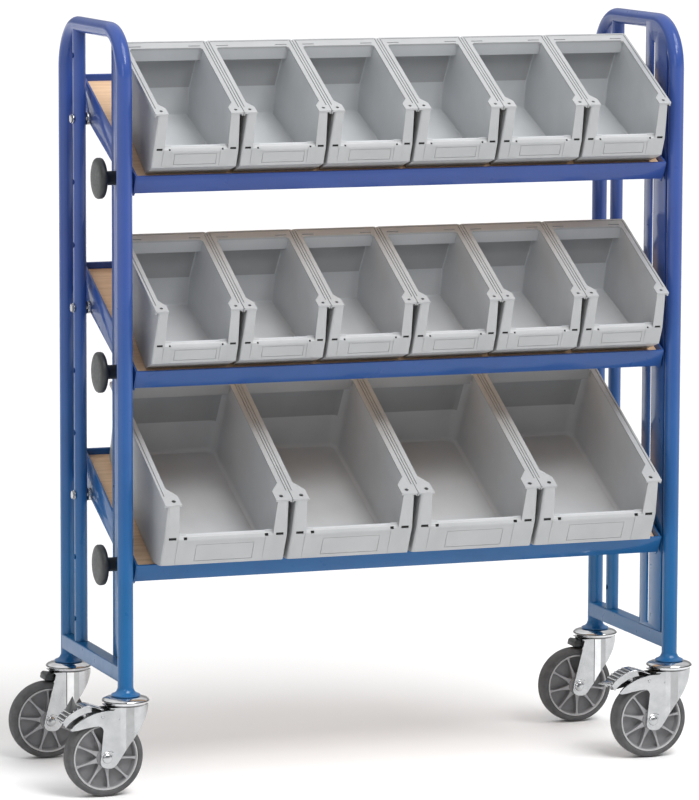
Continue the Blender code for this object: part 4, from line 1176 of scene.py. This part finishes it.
# studio: pale floor, soft lights, camera at the photograph's angle
# around and bands: the room's brightness by direction and by height
studio = {"floor": (0.93, 0.93, 0.93), "floorShades": ((0.925, 0.925, 0.925), (0.935, 0.935, 0.935)),
          "sun": 1.75, "sunSpread": 35.0, "sunFrom": (0.9, -1.9, 3.2), "room": 1.1,
          "around": ((0.0, 1.25), (1.0, 1.25), (0.19, 1.4), (0.28, 1.4), (0.36, 0.95), (0.45, 0.6), (0.54, 0.68),
                     (0.60, 0.9), (0.64, 1.5), (0.68, 1.5), (0.73, 0.6), (0.79, 0.9), (0.86, 1.2)),
          "bands": ((0.0, 1.1), (1.0, 0.75), (0.508, 1.1), (0.512, 0.55), (0.56, 0.22), (0.64, 0.25),
                    (0.72, 0.62))}
# each soft light: name, spot, aim, size, power
softLights = (("leftLight", (-2.4, -3.4, 2.2), (0, 0, 0.6), 1.6, 18),
              ("softBox", (0.4, -2.6, 3.1), (0, 0, 0.7), 0.9, 32))


def aimed(spot, aim):
    return (Vector(aim) - Vector(spot)).to_track_quat("-Z", "Y").to_euler()


def addLight(name, spot, aim, size, power):
    bpy.ops.object.light_add(type="AREA", location=spot)
    light = bpy.context.active_object
    light.name = name
    light.data.shape = "SQUARE"
    light.data.size = size
    light.data.energy = power
    light.rotation_euler = aimed(spot, aim)


def addSun():
    bpy.ops.object.light_add(type="SUN", location=(1.2, -2.0, 4.0))
    sun = bpy.context.active_object
    sun.name = "overheadLight"
    sun.data.energy = studio["sun"]
    sun.data.angle = math.radians(studio["sunSpread"])
    sun.rotation_euler = aimed(studio["sunFrom"], (0, 0, 0))


def addMath(owner, operation):
    node = addNode(owner, "ShaderNodeMath")
    node.operation = operation
    return node


def buildRoom():  # the surroundings that the metal mirrors
    world = bpy.data.worlds.new("softRoom")
    bpy.context.scene.world = world
    world.use_nodes = True
    backdrop = world.node_tree.nodes["Background"]
    backdrop.inputs["Strength"].default_value = studio["room"]
    spot = addNode(world, "ShaderNodeTexCoord")
    split = addNode(world, "ShaderNodeSeparateXYZ")
    join(world, spot.outputs["Generated"], split.inputs["Vector"])
    flip, swing = addMath(world, "MULTIPLY"), addMath(world, "ARCTAN2")
    flip.inputs[1].default_value = -1
    join(world, split.outputs["Y"], flip.inputs[0])
    join(world, split.outputs["X"], swing.inputs[0])
    join(world, flip.outputs[0], swing.inputs[1])
    rise = spanned(world, split.outputs["Z"], **{"From Min": -1})
    turn = spanned(world, swing.outputs[0], **{"From Min": -math.pi, "From Max": math.pi})
    shade = multiplied(world, bandRamp(world, rise, studio["bands"]), bandRamp(world, turn, studio["around"]))
    join(world, shade, backdrop.inputs["Color"])


def buildStudio():
    bpy.ops.mesh.primitive_plane_add(size=30, location=(0, 13.9, -0.0005))
    floor = nameIt("studioFloor")
    bakePlace(floor)
    look = newLook("paleFloor", studio["floor"], 0.7)
    useColour(look, driftColour(look, blotches(look, 900), studio["floorShades"]))
    dressed(floor, look)
    buildRoom()
    bpy.context.scene.view_settings.view_transform = "Standard"
    addSun()
    for values in softLights:
        addLight(*values)


view = {"spot": (-2754.19, -7300.52, 1654.09), "turn": (82.44795, -0.20778, -19.98645), "lens": 248.74}


def buildCamera():
    turn = [math.radians(angle) for angle in view["turn"]]
    bpy.ops.object.camera_add(location=toFloor(*view["spot"]), rotation=turn)
    camera = bpy.context.active_object
    camera.name = "photoView"
    camera.data.sensor_fit = "HORIZONTAL"
    camera.data.sensor_width = 36
    camera.data.lens = view["lens"]
    camera.data.clip_end = 60
    camera.data.dof.use_dof = False
    bpy.context.scene.camera = camera


buildStudio()
buildCamera()
print("studio ready")
